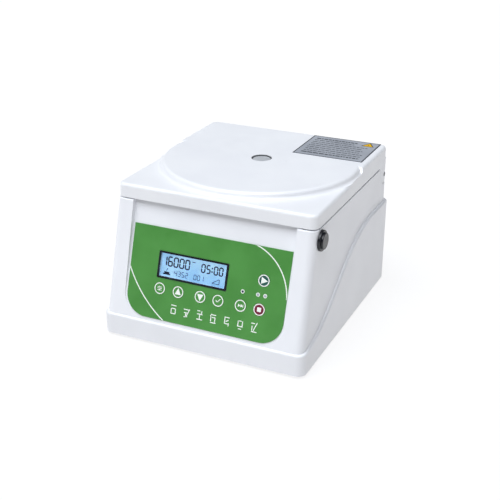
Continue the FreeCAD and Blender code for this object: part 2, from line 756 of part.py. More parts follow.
# ---- chamber and drive -----------------------------------------------------------------------------------
def chamber_bowl():
    sheet = bowl_sheet
    outer = rod(0, spin_y, bowl_floor_z - sheet, bowl_radius + sheet, deck_z - bowl_floor_z + sheet)
    outer = rounded(outer, bowl_floor_round + sheet, lambda edge: len(edge.Vertexes) == 1
                    and edge.CenterOfMass.z < bowl_floor_z)
    inner = rod(0, spin_y, bowl_floor_z, bowl_radius, deck_z - bowl_floor_z + 10)
    inner = rounded(inner, bowl_floor_round, lambda edge: len(edge.Vertexes) == 1
                    and edge.CenterOfMass.z < bowl_floor_z + 1)
    flange = rod(0, spin_y, deck_z, bowl_flange_radius, sheet)
    bowl = outer.fuse(flange).cut(inner)
    return bowl.cut(rod(0, spin_y, bowl_floor_z - 5, motor_neck_radius + 6, 10)).removeSplitter()


def chamber_gasket():
    """Rubber ring on the bowl's flange; its lip touches the lid's liner."""
    height = liner_z - flange_sheet_top
    outline = [
        (gasket_inner, flange_sheet_top), (gasket_inner + gasket_width, flange_sheet_top),
        (gasket_inner + gasket_width - 1.5, flange_sheet_top + height * 0.6),
        (gasket_inner + gasket_width / 2 + 0.6, liner_z), (gasket_inner + gasket_width / 2 - 0.6, liner_z),
        (gasket_inner + 1.5, flange_sheet_top + height * 0.6),
    ]
    return turned(outline)


def shaft_boot():
    """Rubber collar that closes the bowl's floor round the motor's neck."""
    inner = motor_neck_radius + 0.1
    outline = [
        (inner, bowl_floor_z), (inner + 13, bowl_floor_z), (inner + 12, bowl_floor_z + 1.5),
        (inner + 4, bowl_floor_z + 2), (inner + 2, bowl_floor_z + 3.2), (inner, bowl_floor_z + 3.2),
    ]
    return turned(outline)


def damper_places():
    return [
        (damper_circle * math.cos(math.radians(a)), spin_y + damper_circle * math.sin(math.radians(a)))
        for a in (30, 150, 270)
    ]


def rubber_dampers():
    dampers = []
    height = motor_plate_z - plate_top
    outline = [
        (0, 0), (damper_radius, 0), (damper_radius, 3), (damper_radius - 2.5, height * 0.35),
        (damper_radius - 2.5, height * 0.65), (damper_radius, height - 3), (damper_radius, height), (0, height),
    ]
    for x, y in damper_places():
        damper = turned(outline, 0)
        damper.translate(Vector(x, y, plate_top))
        dampers.append(damper.cut(rod(x, y, plate_top - 1, screw_radius + screw_gap, 8)))
    return Part.makeCompound(dampers)


def motor_plate():
    plate = rod(0, spin_y, motor_plate_z, motor_plate_radius, motor_plate_thick)
    holes = [
        rod(motor_plate_radius * 1.05 * math.cos(math.radians(a)), spin_y + motor_plate_radius * 1.05
            * math.sin(math.radians(a)), motor_plate_z - 1, 24, 10)
        for a in (90, 210, 330)
    ]
    holes.append(rod(0, spin_y, motor_plate_z - 1, 15, 10))
    return plate.cut(Part.makeCompound(holes))


def motor_can():
    """The motor's housing: a finned can with a neck that carries the upper bearing."""
    can = rod(0, spin_y, motor_base_z, motor_radius, motor_top_z - motor_base_z)
    can = rounded(can, 3.0, lambda edge: len(edge.Vertexes) == 1 and edge.CenterOfMass.z > motor_top_z - 1)
    neck = rod(0, spin_y, motor_top_z - 1, motor_neck_radius, motor_neck_top - motor_top_z + 1)
    body = can.fuse(neck).removeSplitter()
    body = body.cut(rod(0, spin_y, motor_base_z - 1, motor_radius - can_wall,
                        motor_top_z - can_wall - motor_base_z + 1))
    body = body.cut(rod(0, spin_y, motor_base_z, bearing_radius, motor_neck_top - neck_lip - motor_base_z))
    body = body.cut(rod(0, spin_y, motor_base_z, shaft_radius + shaft_room, motor_neck_top))
    grooves = []
    for step in range(can_grooves):
        groove = block(motor_radius - 1.8, motor_radius + 1, -2, 2, motor_base_z + 8, motor_top_z - 8)
        groove.rotate(Vector(0, 0, 0), Z_AXIS, step * 360.0 / can_grooves)
        groove.translate(Vector(0, spin_y, 0))
        grooves.append(groove)
    return body.cut(Part.makeCompound(grooves))


def motor_end_cap():
    radius = motor_radius - can_wall - 0.05
    cap = rod(0, spin_y, motor_base_z, radius, 4).fuse(rod(0, spin_y, motor_base_z + 3, bearing_radius + 4, 10))
    cap = cap.cut(rod(0, spin_y, motor_base_z + 3, bearing_radius, 20))
    return cap.cut(rod(0, spin_y, motor_base_z - 1, shaft_radius + shaft_room, 10)).removeSplitter()


def motor_bearings():
    lower = ring(0, spin_y, motor_base_z + 4, bearing_radius, shaft_radius + running_gap, bearing_height)
    upper = ring(0, spin_y, motor_neck_top - neck_lip - bearing_height, bearing_radius, shaft_radius + running_gap,
                 bearing_height)
    return Part.makeCompound([lower, upper])


def stator_core():
    outer = motor_radius - can_wall
    core = ring(0, spin_y, motor_base_z + 16, outer, 20.0, 26)
    slots = []
    for step in range(12):
        slot = block(22.5, outer - 5, -2.2, 2.2, motor_base_z + 15, motor_base_z + 44)
        slot.rotate(Vector(0, 0, 0), Z_AXIS, step * 30)
        slot.translate(Vector(0, spin_y, 0))
        slots.append(slot)
    return core.cut(Part.makeCompound(slots))


def motor_magnet():
    return ring(0, spin_y, motor_base_z + 17, 19.2, shaft_radius + running_gap, 24)


def motor_shaft():
    low = motor_base_z + 3
    straight = rod(0, spin_y, low, shaft_radius, rotor_bottom - low)
    seat = rod(0, spin_y, rotor_bottom, shaft_seat_radius, rotor_seat_z - rotor_bottom)
    thread = rod(0, spin_y, rotor_seat_z, shaft_thread_radius, nut_height - 4)
    return straight.fuse(seat).fuse(thread).removeSplitter()


def tube_places():
    return [360.0 / tube_count * (step + 0.5) for step in range(tube_count)]


def rotor():
    """Fixed-angle rotor: its dished top is square to the tube holes."""
    bore = shaft_seat_radius + push_gap
    outline = [
        (bore, rotor_bottom), (rotor_radius - 37.0, rotor_bottom), (rotor_radius - 9.0, rotor_bottom + 3),
        (rotor_radius, rotor_bottom + 12), (rotor_radius, rotor_bottom + 18), (rotor_rim_radius, rotor_rim_z),
        (rotor_rim_radius - 3.0, rotor_rim_z), (dish_radius, dish_z), (hub_radius, dish_z),
        (hub_radius, rotor_seat_z), (bore, rotor_seat_z),
    ]
    body = turned(outline)
    tilt = math.radians(tube_tilt)
    holes = []
    for angle in tube_places():
        way = Vector(math.sin(tilt), 0, -math.cos(tilt))
        mouth = Vector(tube_mouth_radius, 0, tube_mouth_z)
        hole = Part.makeCylinder(tube_radius, tube_depth - tube_radius + 12, mouth - way * 12, way)
        taper = mouth + way * (tube_depth - tube_radius)
        tip = Part.makeCone(tube_radius, tube_tip_radius, tube_radius + 1, taper, way)
        hole = hole.fuse(tip)
        hole.rotate(Vector(0, 0, 0), Z_AXIS, angle)
        hole.translate(Vector(0, spin_y, 0))
        holes.append(hole)
    for hole in holes:
        body = body.cut(hole)
    return body


def rotor_nut():
    body = rod(0, spin_y, rotor_seat_z, nut_radius, nut_height)
    body = rounded(body, 2.0, lambda edge: len(edge.Vertexes) == 1 and edge.CenterOfMass.z > rotor_seat_z + 5)
    for step in range(12):
        angle = math.radians(step * 30)
        body = body.cut(rod((nut_radius + 1) * math.cos(angle), spin_y + (nut_radius + 1) * math.sin(angle),
                            rotor_seat_z + 3, 2.2, nut_height))
    return body.cut(rod(0, spin_y, rotor_seat_z - 1, shaft_thread_radius + push_gap, nut_height - 2))


# ---- lid ---------------------------------------------------------------------------------------------------
def s_edge(start, width, low, high):
    """Points and arcs of an S from (start, high) down to (start + width, low): two equal tangent arcs."""
    rise = high - low
    radius = (width * width + rise * rise) / (4 * rise)
    half_turn = math.atan2(rise, width)
    upper_mid = (start + radius * math.sin(half_turn), high - radius + radius * math.cos(half_turn))
    lower_mid = (start + width - radius * math.sin(half_turn), low + radius - radius * math.cos(half_turn))
    centre = (start + width / 2, (low + high) / 2)
    return (start, high), upper_mid, centre, lower_mid, (start + width, low)


def s_profile(start, width, low, high, floor, back, to_vector):
    """Closed face under an S-shaped edge: level at high from back to start, down to low, and to the floor."""
    a, upper_mid, centre, lower_mid, b = (to_vector(*p) for p in s_edge(start, width, low, high))
    edges = [
        Part.LineSegment(to_vector(back, high), a).toShape(),
        Part.Arc(a, upper_mid, centre).toShape(),
        Part.Arc(centre, lower_mid, b).toShape(),
        Part.LineSegment(b, to_vector(start + width, floor)).toShape(),
        Part.LineSegment(to_vector(start + width, floor), to_vector(back, floor)).toShape(),
        Part.LineSegment(to_vector(back, floor), to_vector(back, high)).toShape(),
    ]
    return Part.Face(Part.Wire(edges))


def lid_slab(top, edge_round, inset, floor):
    slab = rounded_block(-lid_half + inset, lid_half - inset, lid_front_y + inset, lid_rear_y - inset,
                         floor, top, lid_corner - inset)
    return rounded(slab, edge_round, lambda edge: edge.CenterOfMass.z > top - 0.01)


def lid_form(inset, floor):
    """The lid's outer form, or the hollow that leaves walls of thickness inset."""
    low = lid_low_z - inset
    high = lid_high_z - inset
    base = lid_slab(low, lid_low_round, inset, floor)
    raised = lid_slab(high, lid_high_round, inset, floor)
    disc = s_profile(plateau_radius - inset, plateau_slope, low, high, floor, 0.0,
                     lambda r, z: Vector(r, 0, z)).revolve(Vector(0, 0, 0), Z_AXIS, 360)
    disc.translate(Vector(0, spin_y, 0))
    rear = s_profile(-(rear_plateau_y + inset), rear_slope, low, high, floor, -lid_rear_y - 5,
                     lambda d, z: Vector(-lid_half - 5, -d, z)).extrude(Vector(2 * lid_half + 10, 0, 0))
    plateau = disc.fuse(rear).common(raised)
    return base.fuse(plateau).removeSplitter()


def lid_screw_places():
    front = lid_front_y + 18.3
    rear = lid_rear_y - 44.7
    return [(-lid_screw_x, front), (lid_lock_screw_x, front)] + [
        (side * lid_screw_x, y) for y in (spin_y, rear) for side in (-1, 1)
    ]


def lid_shell():
    outer = lid_form(0, lid_bottom)
    hollow = lid_form(wall, lid_bottom - 5)
    shell = outer.cut(hollow)
    ear = ear_solid(ear_inner, lid_half, 0, lid_rear_y, lid_bottom + 8)
    ear = ear.common(block(0, half_width, 0, lid_rear_y, 0, lid_high_z))
    ear = rounded(ear, lid_corner - 3, lambda edge: edge.BoundBox.ZLength > 10
                  and edge.CenterOfMass.x > lid_half - 0.1
                  and edge.CenterOfMass.y > lid_rear_y - 0.1)
    boss_foot = liner_z + liner_thick
    boss_height = lid_high_z - boss_foot
    bosses = [rod(x, y, boss_foot, lid_boss_radius, boss_height).common(outer) for x, y in lid_screw_places()]
    tube_foot = liner_z + liner_thick + liner_dish_rise
    tube = rod(0, spin_y, tube_foot, window_radius + window_tube_wall, lid_high_z - wall / 2 - tube_foot)
    shell = joined([shell, ear, mirrored(ear), tube] + bosses)
    holes = [rod(x, y, liner_z, screw_radius + screw_gap, 11) for x, y in lid_screw_places()]
    holes.append(rod(0, spin_y, lid_high_z - window_sunk - window_thick, window_radius, 20))
    holes.append(rod(0, spin_y, liner_z, window_radius - window_ledge, 40))
    bore = rod(ear_inner - 10, hinge_y, hinge_z, hinge_pin_radius + running_gap, 40, X_AXIS)
    holes += [bore, mirrored(bore)]
    for hole in holes:
        shell = shell.cut(hole)
    return shell


def lid_liner():
    """The pan that closes the lid from below, dished over the rotor."""
    inset = wall + liner_gap
    plate = rounded_block(-lid_half + inset, lid_half - inset, lid_front_y + inset, lid_rear_y - inset,
                          liner_z, liner_z + liner_thick, lid_corner - wall)
    rise = liner_dish_rise
    place = Vector(0, spin_y, liner_z)
    dish = Part.makeCone(liner_dish_radius + dish_flare, liner_dish_radius, rise + liner_thick, place)
    hollow = Part.makeCone(liner_dish_radius + dish_flare - 2, liner_dish_radius - 2, rise, place)
    pan = plate.fuse(dish).cut(hollow).removeSplitter()
    holes = [rod(x, y, liner_z - 1, screw_radius + clear_gap, 10) for x, y in lid_screw_places()]
    holes.append(rod(0, spin_y, liner_z - 1, window_radius - window_ledge, 20))
    ear_room = block(notch_inner, half_width, ear_front_y - 4, half_depth, liner_z - 1, liner_z + 20)
    holes += [ear_room, mirrored(ear_room)]
    for hole in holes:
        pan = pan.cut(hole)
    return pan


def lid_screws():
    return Part.makeCompound([screw(x, y, liner_z, Z_AXIS * -1, 10.0) for x, y in lid_screw_places()])


def lid_window():
    disc = rod(0, spin_y, lid_high_z - window_sunk - window_thick, window_radius - 0.05, window_thick)
    return rounded(disc, 0.5, lambda edge: len(edge.Vertexes) == 1 and edge.CenterOfMass.z > lid_high_z - 3)


def lid_label():
    plate = block(label_right - label_width, label_right, label_rear - label_depth, label_rear,
                  lid_high_z, lid_high_z + label_thick)
    return rounded(plate, 1.5, lambda edge: edge.BoundBox.ZLength > label_thick / 2)


# ---- hinge and lock --------------------------------------------------------------------------------
def hinge_pins():
    pin = rod(notch_inner - wall - bracket_thick - 1, hinge_y, hinge_z, hinge_pin_radius,
              lid_half + pin_end - notch_inner + wall + bracket_thick + 1, X_AXIS)
    pin = rounded(pin, 0.6, lambda edge: len(edge.Vertexes) == 1)
    return both_sides(pin)


def hinge_washers():
    washer = ring(notch_inner, hinge_y, hinge_z, 6.5, hinge_pin_radius + 0.1,
                  ear_inner - notch_inner - washer_gap, X_AXIS)
    return both_sides(washer)


def hinge_brackets():
    """Steel angle behind each notch, which holds the pin and is screwed under the deck."""
    x1 = notch_inner - wall - bracket_gap
    x0 = x1 - bracket_thick
    deck_low = deck_z - deck_wall
    top = deck_low - bracket_gap
    web = block(x0, x1, hinge_y - 11, hinge_y + 5.5, hinge_z - 12, top)
    foot = block(x0 - 12, x1, hinge_y - 11, hinge_y + 1.5, top - bracket_thick, top)
    bracket = web.fuse(foot).removeSplitter().cut(rod(x0 - 1, hinge_y, hinge_z, hinge_pin_radius, 10, X_AXIS))
    return both_sides(bracket)


def lock_bushing():
    """Flanged bushing: the knob sinks into the well in its flange, and its barrel carries the pin."""
    face = lock_face_x + lock_flange_thick
    flange = rod(lock_face_x, lock_y, lock_z, lock_flange_radius, lock_flange_thick, X_AXIS)
    flange = rounded(flange, 0.9, lambda edge: len(edge.Vertexes) == 1 and edge.CenterOfMass.x > face - 0.1)
    barrel = rod(lock_face_x - lock_barrel_length, lock_y, lock_z, lock_barrel_radius, lock_barrel_length,
                 X_AXIS)
    body = flange.fuse(barrel).removeSplitter()
    well = rod(face - lock_travel - lock_stop_gap, lock_y, lock_z, lock_cap_radius + lock_cap_gap, 10, X_AXIS)
    return body.cut(rod(lock_face_x - 20, lock_y, lock_z, lock_pin_radius + running_gap, 40, X_AXIS)).cut(well)


def lock_nut():
    x0 = lock_face_x - wall - 0.5 - lock_nut_thick
    radius = lock_barrel_radius + 3.0
    corners = [
        Vector(x0, lock_y + radius * math.cos(math.radians(a)), lock_z + radius * math.sin(math.radians(a)))
        for a in range(0, 360, 60)
    ]
    nut = Part.Face(Part.makePolygon(corners + corners[:1])).extrude(Vector(lock_nut_thick, 0, 0))
    return nut.cut(rod(x0 - 1, lock_y, lock_z, lock_barrel_radius + push_gap, 10, X_AXIS))


def lock_knob():
    face = lock_face_x + lock_flange_thick
    cap = rod(face, lock_y, lock_z, lock_cap_radius, lock_cap_thick, X_AXIS)
    return rounded(cap, 0.8, lambda edge: len(edge.Vertexes) == 1 and edge.CenterOfMass.x > face + 1)


def lock_pin():
    tip = striker_x + striker_thick + striker_rest_gap
    face = lock_face_x + lock_flange_thick
    pin = rod(tip, lock_y, lock_z, lock_pin_radius, face - tip, X_AXIS)
    return pin.makeChamfer(0.7, [edge for edge in pin.Edges if len(edge.Vertexes) == 1
                                 and edge.CenterOfMass.x < tip + 1])


def striker():
    """Steel angle under the lid, with the hole that the lock's pin enters."""
    front = lock_y - striker_front
    rear = lock_y + striker_rear
    plate = block(striker_x, striker_x + striker_thick, front, rear, lock_z - 8, liner_z)
    foot = block(striker_x - 14, striker_x + striker_thick, front, rear, liner_z - striker_thick, liner_z)
    body = plate.fuse(foot).removeSplitter()
    body = rounded(body, 3.0, lambda edge: edge.BoundBox.XLength > 1 and edge.BoundBox.ZLength < 0.1
                   and edge.CenterOfMass.z < lock_z)
    body = body.cut(rod(striker_x - 1, lock_y, lock_z, lock_pin_radius + 0.4, 5, X_AXIS))
    return body.cut(rod(striker_x - 8, lock_y, liner_z - 5, screw_radius + 0.2, 10))


# ---- electronics and leads -------------------------------------------------------------------------
def board_standoff_places():
    places = []
    for x0, x1, y0, y1 in (power_board_box, driver_board_box):
        places += [(x, y) for x in (x0 + 4, x1 - 4) for y in (y0 + 4, y1 - 4)]
    return places


def board_standoffs():
    return Part.makeCompound([rod(x, y, plate_top, 3.0, board_lift) for x, y in board_standoff_places()])


def circuit_board(x0, x1, y0, y1):
    return block(x0, x1, y0, y1, driver_board_z, board_top_z)


def power_transformer():
    z = board_top_z
    core = block(-112, -76, board_front_y + 7, board_front_y + 45, z, z + 30)
    coil = rounded_block(-108, -80, board_front_y + 2, board_front_y + 50, z + 6, z + 24, 6)
    return core.fuse(coil).removeSplitter()


def capacitors():
    places = ((-60, board_front_y + 15), (-60, board_front_y + 38), (-36, board_front_y + 15))
    cans = [rod(x, y, board_top_z, 9.0, 26) for x, y in places]
    return Part.makeCompound([
        rounded(can, 1.2, lambda edge: len(edge.Vertexes) == 1 and edge.CenterOfMass.z > board_top_z + 20)
        for can in cans
    ])


def heat_sink():
    z = board_top_z
    front = board_front_y + 9
    rear = board_front_y + 51
    fins = [block(41 + 7.6 * step, 43 + 7.6 * step, front, rear, z + 3, z + 26) for step in range(9)]
    return joined([block(40, 104, front, rear, z, z + 4)] + fins)


def motor_lead():
    start = motor_base_z + 10.5
    return lead([
        (12.0, spin_y - motor_radius + 1.0, start), (12.0, spin_y - 60.5, start),
        (13.0, spin_y - 78.5, start - 7.0), (14.0, board_front_y + 65.0, 30.0),
        (14.5, board_front_y + 49.0, 28.0), (15.0, board_front_y + 35.0, 24.0),
        (15.0, board_front_y + 35.0, board_top_z),
    ], 2.5)


def mains_lead():
    low = lead_low_z
    side = intake_x + 6.0
    return lead([
        (inlet_x, rear_face_y - inlet_depth, 62.0), (inlet_x, rear_face_y - 42.0, 62.0),
        (side - 14.0, rear_face_y - 58.0, 52.0), (side, rear_face_y - 82.0, 36.0), (side, 34.0, low + 4.0),
        (side - 1.0, 0.0, low), (side - 4.0, -30.0, low), (84.0, -50.0, low), (56.0, -58.0, low),
        (22.0, -61.0, low), (-4.0, -66.0, low + 2.0), (-18.0, board_front_y + 55.0, low + 6.0),
        (-25.0, board_front_y + 39.0, low + 5.0),
        (-25.0, board_front_y + 39.0, board_top_z),
    ], 3.0)


def panel_ribbon():
    """Flat cable from the control board down to the driver board."""
    start = on_panel(rod(60, board_s[0] + 6, -board_behind - board_thick - 1.0, 0.5, 0.2)).CenterOfMass
    end = board_front_y + 5.0
    points = [
        (start.y, start.z), (start.y + 8, start.z - 3), (start.y + 10, start.z - 14), (end, board_top_z + 6.0),
        (end, board_top_z),
    ]
    half_thick = 0.5
    front = [(y - half_thick, z) for y, z in points]
    back = [(y + half_thick, z) for y, z in reversed(points)]
    ribbon = side_prism(front + back, 12)
    ribbon.translate(Vector(24, 0, 0))
    return ribbon


def power_board():
    return circuit_board(*power_board_box)


def driver_board():
    return circuit_board(*driver_board_box)


parts = {
    "housing_shell": housing_shell,
    "base_plate": base_plate,
    "rubber_feet": rubber_feet,
    "housing_screws": housing_screws,
    "rear_panel": rear_panel,
    "power_inlet": power_inlet,
    "inlet_pins": inlet_pins,
    "fuse_drawer": fuse_drawer,
    "switch_body": switch_body,
    "switch_rocker": switch_rocker,
    "membrane_overlay": membrane_overlay,
    "display_bezel": display_bezel,
    "display_window": display_window,
    "lcd_glass": lcd_glass,
    "lcd_module": lcd_module,
    "tact_switches": tact_switches,
    "status_leds": status_leds,
    "control_board": control_board,
    "chamber_bowl": chamber_bowl,
    "chamber_gasket": chamber_gasket,
    "shaft_boot": shaft_boot,
    "rubber_dampers": rubber_dampers,
    "motor_plate": motor_plate,
    "motor_can": motor_can,
    "motor_end_cap": motor_end_cap,
    "motor_bearings": motor_bearings,
    "stator_core": stator_core,
    "motor_magnet": motor_magnet,
    "motor_shaft": motor_shaft,
    "rotor": rotor,
    "rotor_nut": rotor_nut,
    "lid_shell": lid_shell,
    "lid_liner": lid_liner,
    "lid_screws": lid_screws,
    "lid_window": lid_window,
    "lid_label": lid_label,
    "hinge_pins": hinge_pins,
    "hinge_washers": hinge_washers,
    "hinge_brackets": hinge_brackets,
    "lock_bushing": lock_bushing,
    "lock_nut": lock_nut,
    "lock_knob": lock_knob,
    "lock_pin": lock_pin,
    "striker": striker,
    "board_standoffs": board_standoffs,
    "power_board": power_board,
    "driver_board": driver_board,
    "power_transformer": power_transformer,
    "capacitors": capacitors,
    "heat_sink": heat_sink,
    "motor_lead": motor_lead,
    "mains_lead": mains_lead,
    "panel_ribbon": panel_ribbon,
}
for key in key_places:
    parts[key] = lambda name=key: panel_key(name)

os.makedirs("parts", exist_ok=True)
for node, make in parts.items():
    shape = make()
    shape.exportStep(os.path.join("parts", node + ".step"))
    print(f"{node}: {len(shape.Solids)} solids, {shape.Volume / 1000:.1f} cm3, valid {shape.isValid()}")
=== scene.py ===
import json
import math
import random

import bpy
from mathutils import Matrix, Quaternion, Vector

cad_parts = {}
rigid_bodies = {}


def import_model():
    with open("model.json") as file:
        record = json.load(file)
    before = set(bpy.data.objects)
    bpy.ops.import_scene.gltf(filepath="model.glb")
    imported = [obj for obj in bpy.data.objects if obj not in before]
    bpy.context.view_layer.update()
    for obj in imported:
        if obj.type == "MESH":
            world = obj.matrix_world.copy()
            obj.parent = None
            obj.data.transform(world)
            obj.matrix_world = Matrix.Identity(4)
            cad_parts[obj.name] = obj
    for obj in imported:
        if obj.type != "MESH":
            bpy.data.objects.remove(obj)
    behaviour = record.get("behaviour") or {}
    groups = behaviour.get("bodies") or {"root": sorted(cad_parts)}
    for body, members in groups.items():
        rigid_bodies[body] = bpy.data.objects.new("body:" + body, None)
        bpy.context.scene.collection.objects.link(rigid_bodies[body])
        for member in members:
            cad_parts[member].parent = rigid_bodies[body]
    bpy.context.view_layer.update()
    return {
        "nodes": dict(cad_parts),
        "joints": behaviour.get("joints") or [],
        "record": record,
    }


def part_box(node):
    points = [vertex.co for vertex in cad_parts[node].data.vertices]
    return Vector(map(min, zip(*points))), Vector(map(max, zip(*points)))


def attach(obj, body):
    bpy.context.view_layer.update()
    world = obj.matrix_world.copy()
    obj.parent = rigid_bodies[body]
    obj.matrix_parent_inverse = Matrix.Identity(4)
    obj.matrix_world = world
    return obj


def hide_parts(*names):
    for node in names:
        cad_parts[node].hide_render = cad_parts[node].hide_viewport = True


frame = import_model()
nodes = frame["nodes"]
mm = 0.001
print("frame loaded")


# colours and shader nodes
def linear(hexColour):
    channels = [int(hexColour[i:i + 2], 16) / 255 for i in (1, 3, 5)]
    return [c / 12.92 if c <= 0.04045 else ((c + 0.055) / 1.055) ** 2.4 for c in channels] + [1.0]


def addNode(material, kind, settings=None, links=None):
    made = material.node_tree.nodes.new("ShaderNode" + kind)
    for key, value in (settings or {}).items():
        if key in made.inputs:
            made.inputs[key].default_value = value
        else:
            setattr(made, key, value)
    for key, source in (links or {}).items():
        material.node_tree.links.new(source, made.inputs[key])
    return made


def newMaterial(name, colour, settings):
    material = bpy.data.materials.new(name)
    material.use_nodes = True
    shader = material.node_tree.nodes["Principled BSDF"]
    shader.inputs["Base Color"].default_value = linear(colour)
    for key, value in settings.items():
        shader.inputs[key].default_value = value
    return material, shader


def wire(material, source, shader, socket):
    material.node_tree.links.new(source, shader.inputs[socket])


def objectPlace(material, stretch=(1, 1, 1), turn=(0, 0, 0), centre=(0, 0, 0)):
    place = addNode(material, "TexCoord").outputs["Object"]
    settings = {"Scale": stretch, "Rotation": turn, "Location": centre, "vector_type": "POINT"}
    return addNode(material, "Mapping", settings, {"Vector": place}).outputs["Vector"]


def noiseOf(material, sizeMm, detail=3.0, place=None):
    settings = {"Scale": 1 / (sizeMm * mm), "Detail": detail}
    return addNode(material, "TexNoise", settings, {"Vector": place or objectPlace(material)}).outputs["Fac"]


def varyColour(material, shader, darker, lighter, sizeMm, place=None):
    ramp = addNode(material, "ValToRGB", links={"Fac": noiseOf(material, sizeMm, 2.0, place)})
    ramp.color_ramp.elements[0].position = 0.35
    ramp.color_ramp.elements[1].position = 0.65
    ramp.color_ramp.elements[0].color = linear(darker)
    ramp.color_ramp.elements[1].color = linear(lighter)
    wire(material, ramp.outputs["Color"], shader, "Base Color")
    return ramp


def varyRoughness(material, shader, low, high, sizeMm, place=None):
    spread = addNode(material, "MapRange", {"From Min": 0.3, "From Max": 0.7, "To Min": low, "To Max": high},
                     {"Value": noiseOf(material, sizeMm, 4.0, place)})
    wire(material, spread.outputs["Result"], shader, "Roughness")


def addGrain(material, shader, sizeMm, depthMm, place=None):
    bump = addNode(material, "Bump", {"Strength": 1.0, "Distance": depthMm * mm},
                   {"Height": noiseOf(material, sizeMm, 4.0, place)})
    wire(material, bump.outputs["Normal"], shader, "Normal")


# materials: each maker is one real surface, and its note says what it gives the eye
def mouldedAbs(name, darker, lighter, grainMm=1.4, grainDepth=0.02, low=0.3, high=0.4):
    # white ABS from a fine-sparked mould: soft satin gloss, faint flow clouds, and a grit drawn coarser than
    # its real 0.1 mm so that it reads
    material, shader = newMaterial(name, lighter, {"IOR": 1.53, "Coat Weight": 0.12, "Coat Roughness": 0.12})
    varyColour(material, shader, darker, lighter, 70)
    varyRoughness(material, shader, low, high, 14)
    addGrain(material, shader, grainMm, grainDepth)
    return material


def printedPolyester(name, darker, lighter):
    # reverse-printed velvet polyester: flat even colour with a fine tooth that spreads the highlights
    material, shader = newMaterial(name, lighter, {"IOR": 1.6})
    varyColour(material, shader, darker, lighter, 38)
    varyRoughness(material, shader, 0.3, 0.42, 6)
    addGrain(material, shader, 0.9, 0.012)
    return material


def screenInk(name, colour):
    # opaque screen-printed ink, slightly grainy where the mesh laid it down
    material, shader = newMaterial(name, colour, {"Roughness": 0.5, "IOR": 1.5})
    addGrain(material, shader, 0.5, 0.006)
    return material


def glossyMoulding(name, darker, lighter, roughness=0.12, coat=0.3):
    # polished-mould plastic: sharp highlights with fine handling haze
    material, shader = newMaterial(name, lighter, {"IOR": 1.5, "Coat Weight": coat, "Coat Roughness": 0.05})
    varyColour(material, shader, darker, lighter, 12)
    varyRoughness(material, shader, roughness, roughness + 0.1, 5)
    addGrain(material, shader, 2.5, 0.008)
    return material


def mattRubber(name, darker, lighter):
    # moulded rubber: dull, slightly bloomed and pitted
    material, shader = newMaterial(name, lighter, {"IOR": 1.52})
    varyColour(material, shader, darker, lighter, 9)
    varyRoughness(material, shader, 0.65, 0.85, 4)
    addGrain(material, shader, 0.7, 0.03)
    return material


def brushedMetal(name, darker, lighter, roughness, stretch, sizeMm=0.6):
    # metal with a directional grain: stretch is short across the brushing and long along it
    material, shader = newMaterial(name, lighter, {"Metallic": 1.0})
    place = objectPlace(material, stretch)
    varyColour(material, shader, darker, lighter, sizeMm * 2, place)
    varyRoughness(material, shader, roughness, roughness + 0.14, sizeMm, place)
    addGrain(material, shader, sizeMm, 0.006, place)
    return material


waveTurn = 0.314  # the wave texture's scale for one ring per unit of length


def turnedMetal(name, darker, lighter, roughness, centre, pitchMm=0.7):
    # lathe-turned metal: fine rings about the spindle, drawn coarser than the real feed marks
    material, shader = newMaterial(name, lighter, {"Metallic": 1.0})
    varyColour(material, shader, darker, lighter, 25)
    varyRoughness(material, shader, roughness, roughness + 0.1, 3)
    place = objectPlace(material, centre=(-centre[0], -centre[1], 0))
    settings = {"wave_type": "RINGS", "rings_direction": "Z", "Scale": waveTurn / (pitchMm * mm),
                "Distortion": 0.4, "Detail": 2.0}
    rings = addNode(material, "TexWave", settings, {"Vector": place}).outputs["Fac"]
    bump = addNode(material, "Bump", {"Strength": 1.0, "Distance": 0.006 * mm}, {"Height": rings})
    wire(material, bump.outputs["Normal"], shader, "Normal")
    return material


def powderCoat(name, darker, lighter):
    # powder-coated steel: fine orange peel and a low even sheen
    material, shader = newMaterial(name, lighter, {"IOR": 1.5})
    varyColour(material, shader, darker, lighter, 45)
    varyRoughness(material, shader, 0.42, 0.55, 6)
    addGrain(material, shader, 1.6, 0.035)
    return material


def clearAcrylic(name, tint, roughness=0.03):
    # cast acrylic: clear, faintly tinted, with polishing haze
    material, shader = newMaterial(name, tint, {"IOR": 1.49, "Transmission Weight": 1.0})
    varyRoughness(material, shader, roughness, roughness + 0.04, 6)
    return material


def frostedAcrylic(name, darker, lighter):
    # pearl acrylic frosted on its underside: lets a little light through and hides what is behind it
    material, shader = newMaterial(name, lighter, {"IOR": 1.49, "Transmission Weight": 0.25, "Coat Weight": 0.6,
                                                   "Coat Roughness": 0.08})
    varyColour(material, shader, darker, lighter, 11)
    varyRoughness(material, shader, 0.3, 0.42, 5)
    return material


def litCrystal(name, darker, lighter, tilt):
    # liquid crystal glass lit from behind: even pale blue with faint clouds and a fine cell grid
    material, shader = newMaterial(name, lighter, {"Roughness": 0.25, "IOR": 1.5, "Emission Strength": 0.68})
    ramp = varyColour(material, shader, darker, lighter, 32)
    wire(material, ramp.outputs["Color"], shader, "Emission Color")
    place = objectPlace(material, turn=(tilt, 0, 0))
    cellMm = 1.2
    settings = {"Scale": 1 / (cellMm * mm), "Mortar Size": 0.03, "Brick Width": 0.5, "Row Height": 0.5,
                "offset": 0.0, "Color1": (1, 1, 1, 1), "Color2": (1, 1, 1, 1), "Mortar": (0, 0, 0, 1)}
    cells = addNode(material, "TexBrick", settings, {"Vector": place}).outputs["Color"]
    bump = addNode(material, "Bump", {"Strength": 0.3, "Distance": 0.01 * mm}, {"Height": cells})
    wire(material, bump.outputs["Normal"], shader, "Normal")
    return material


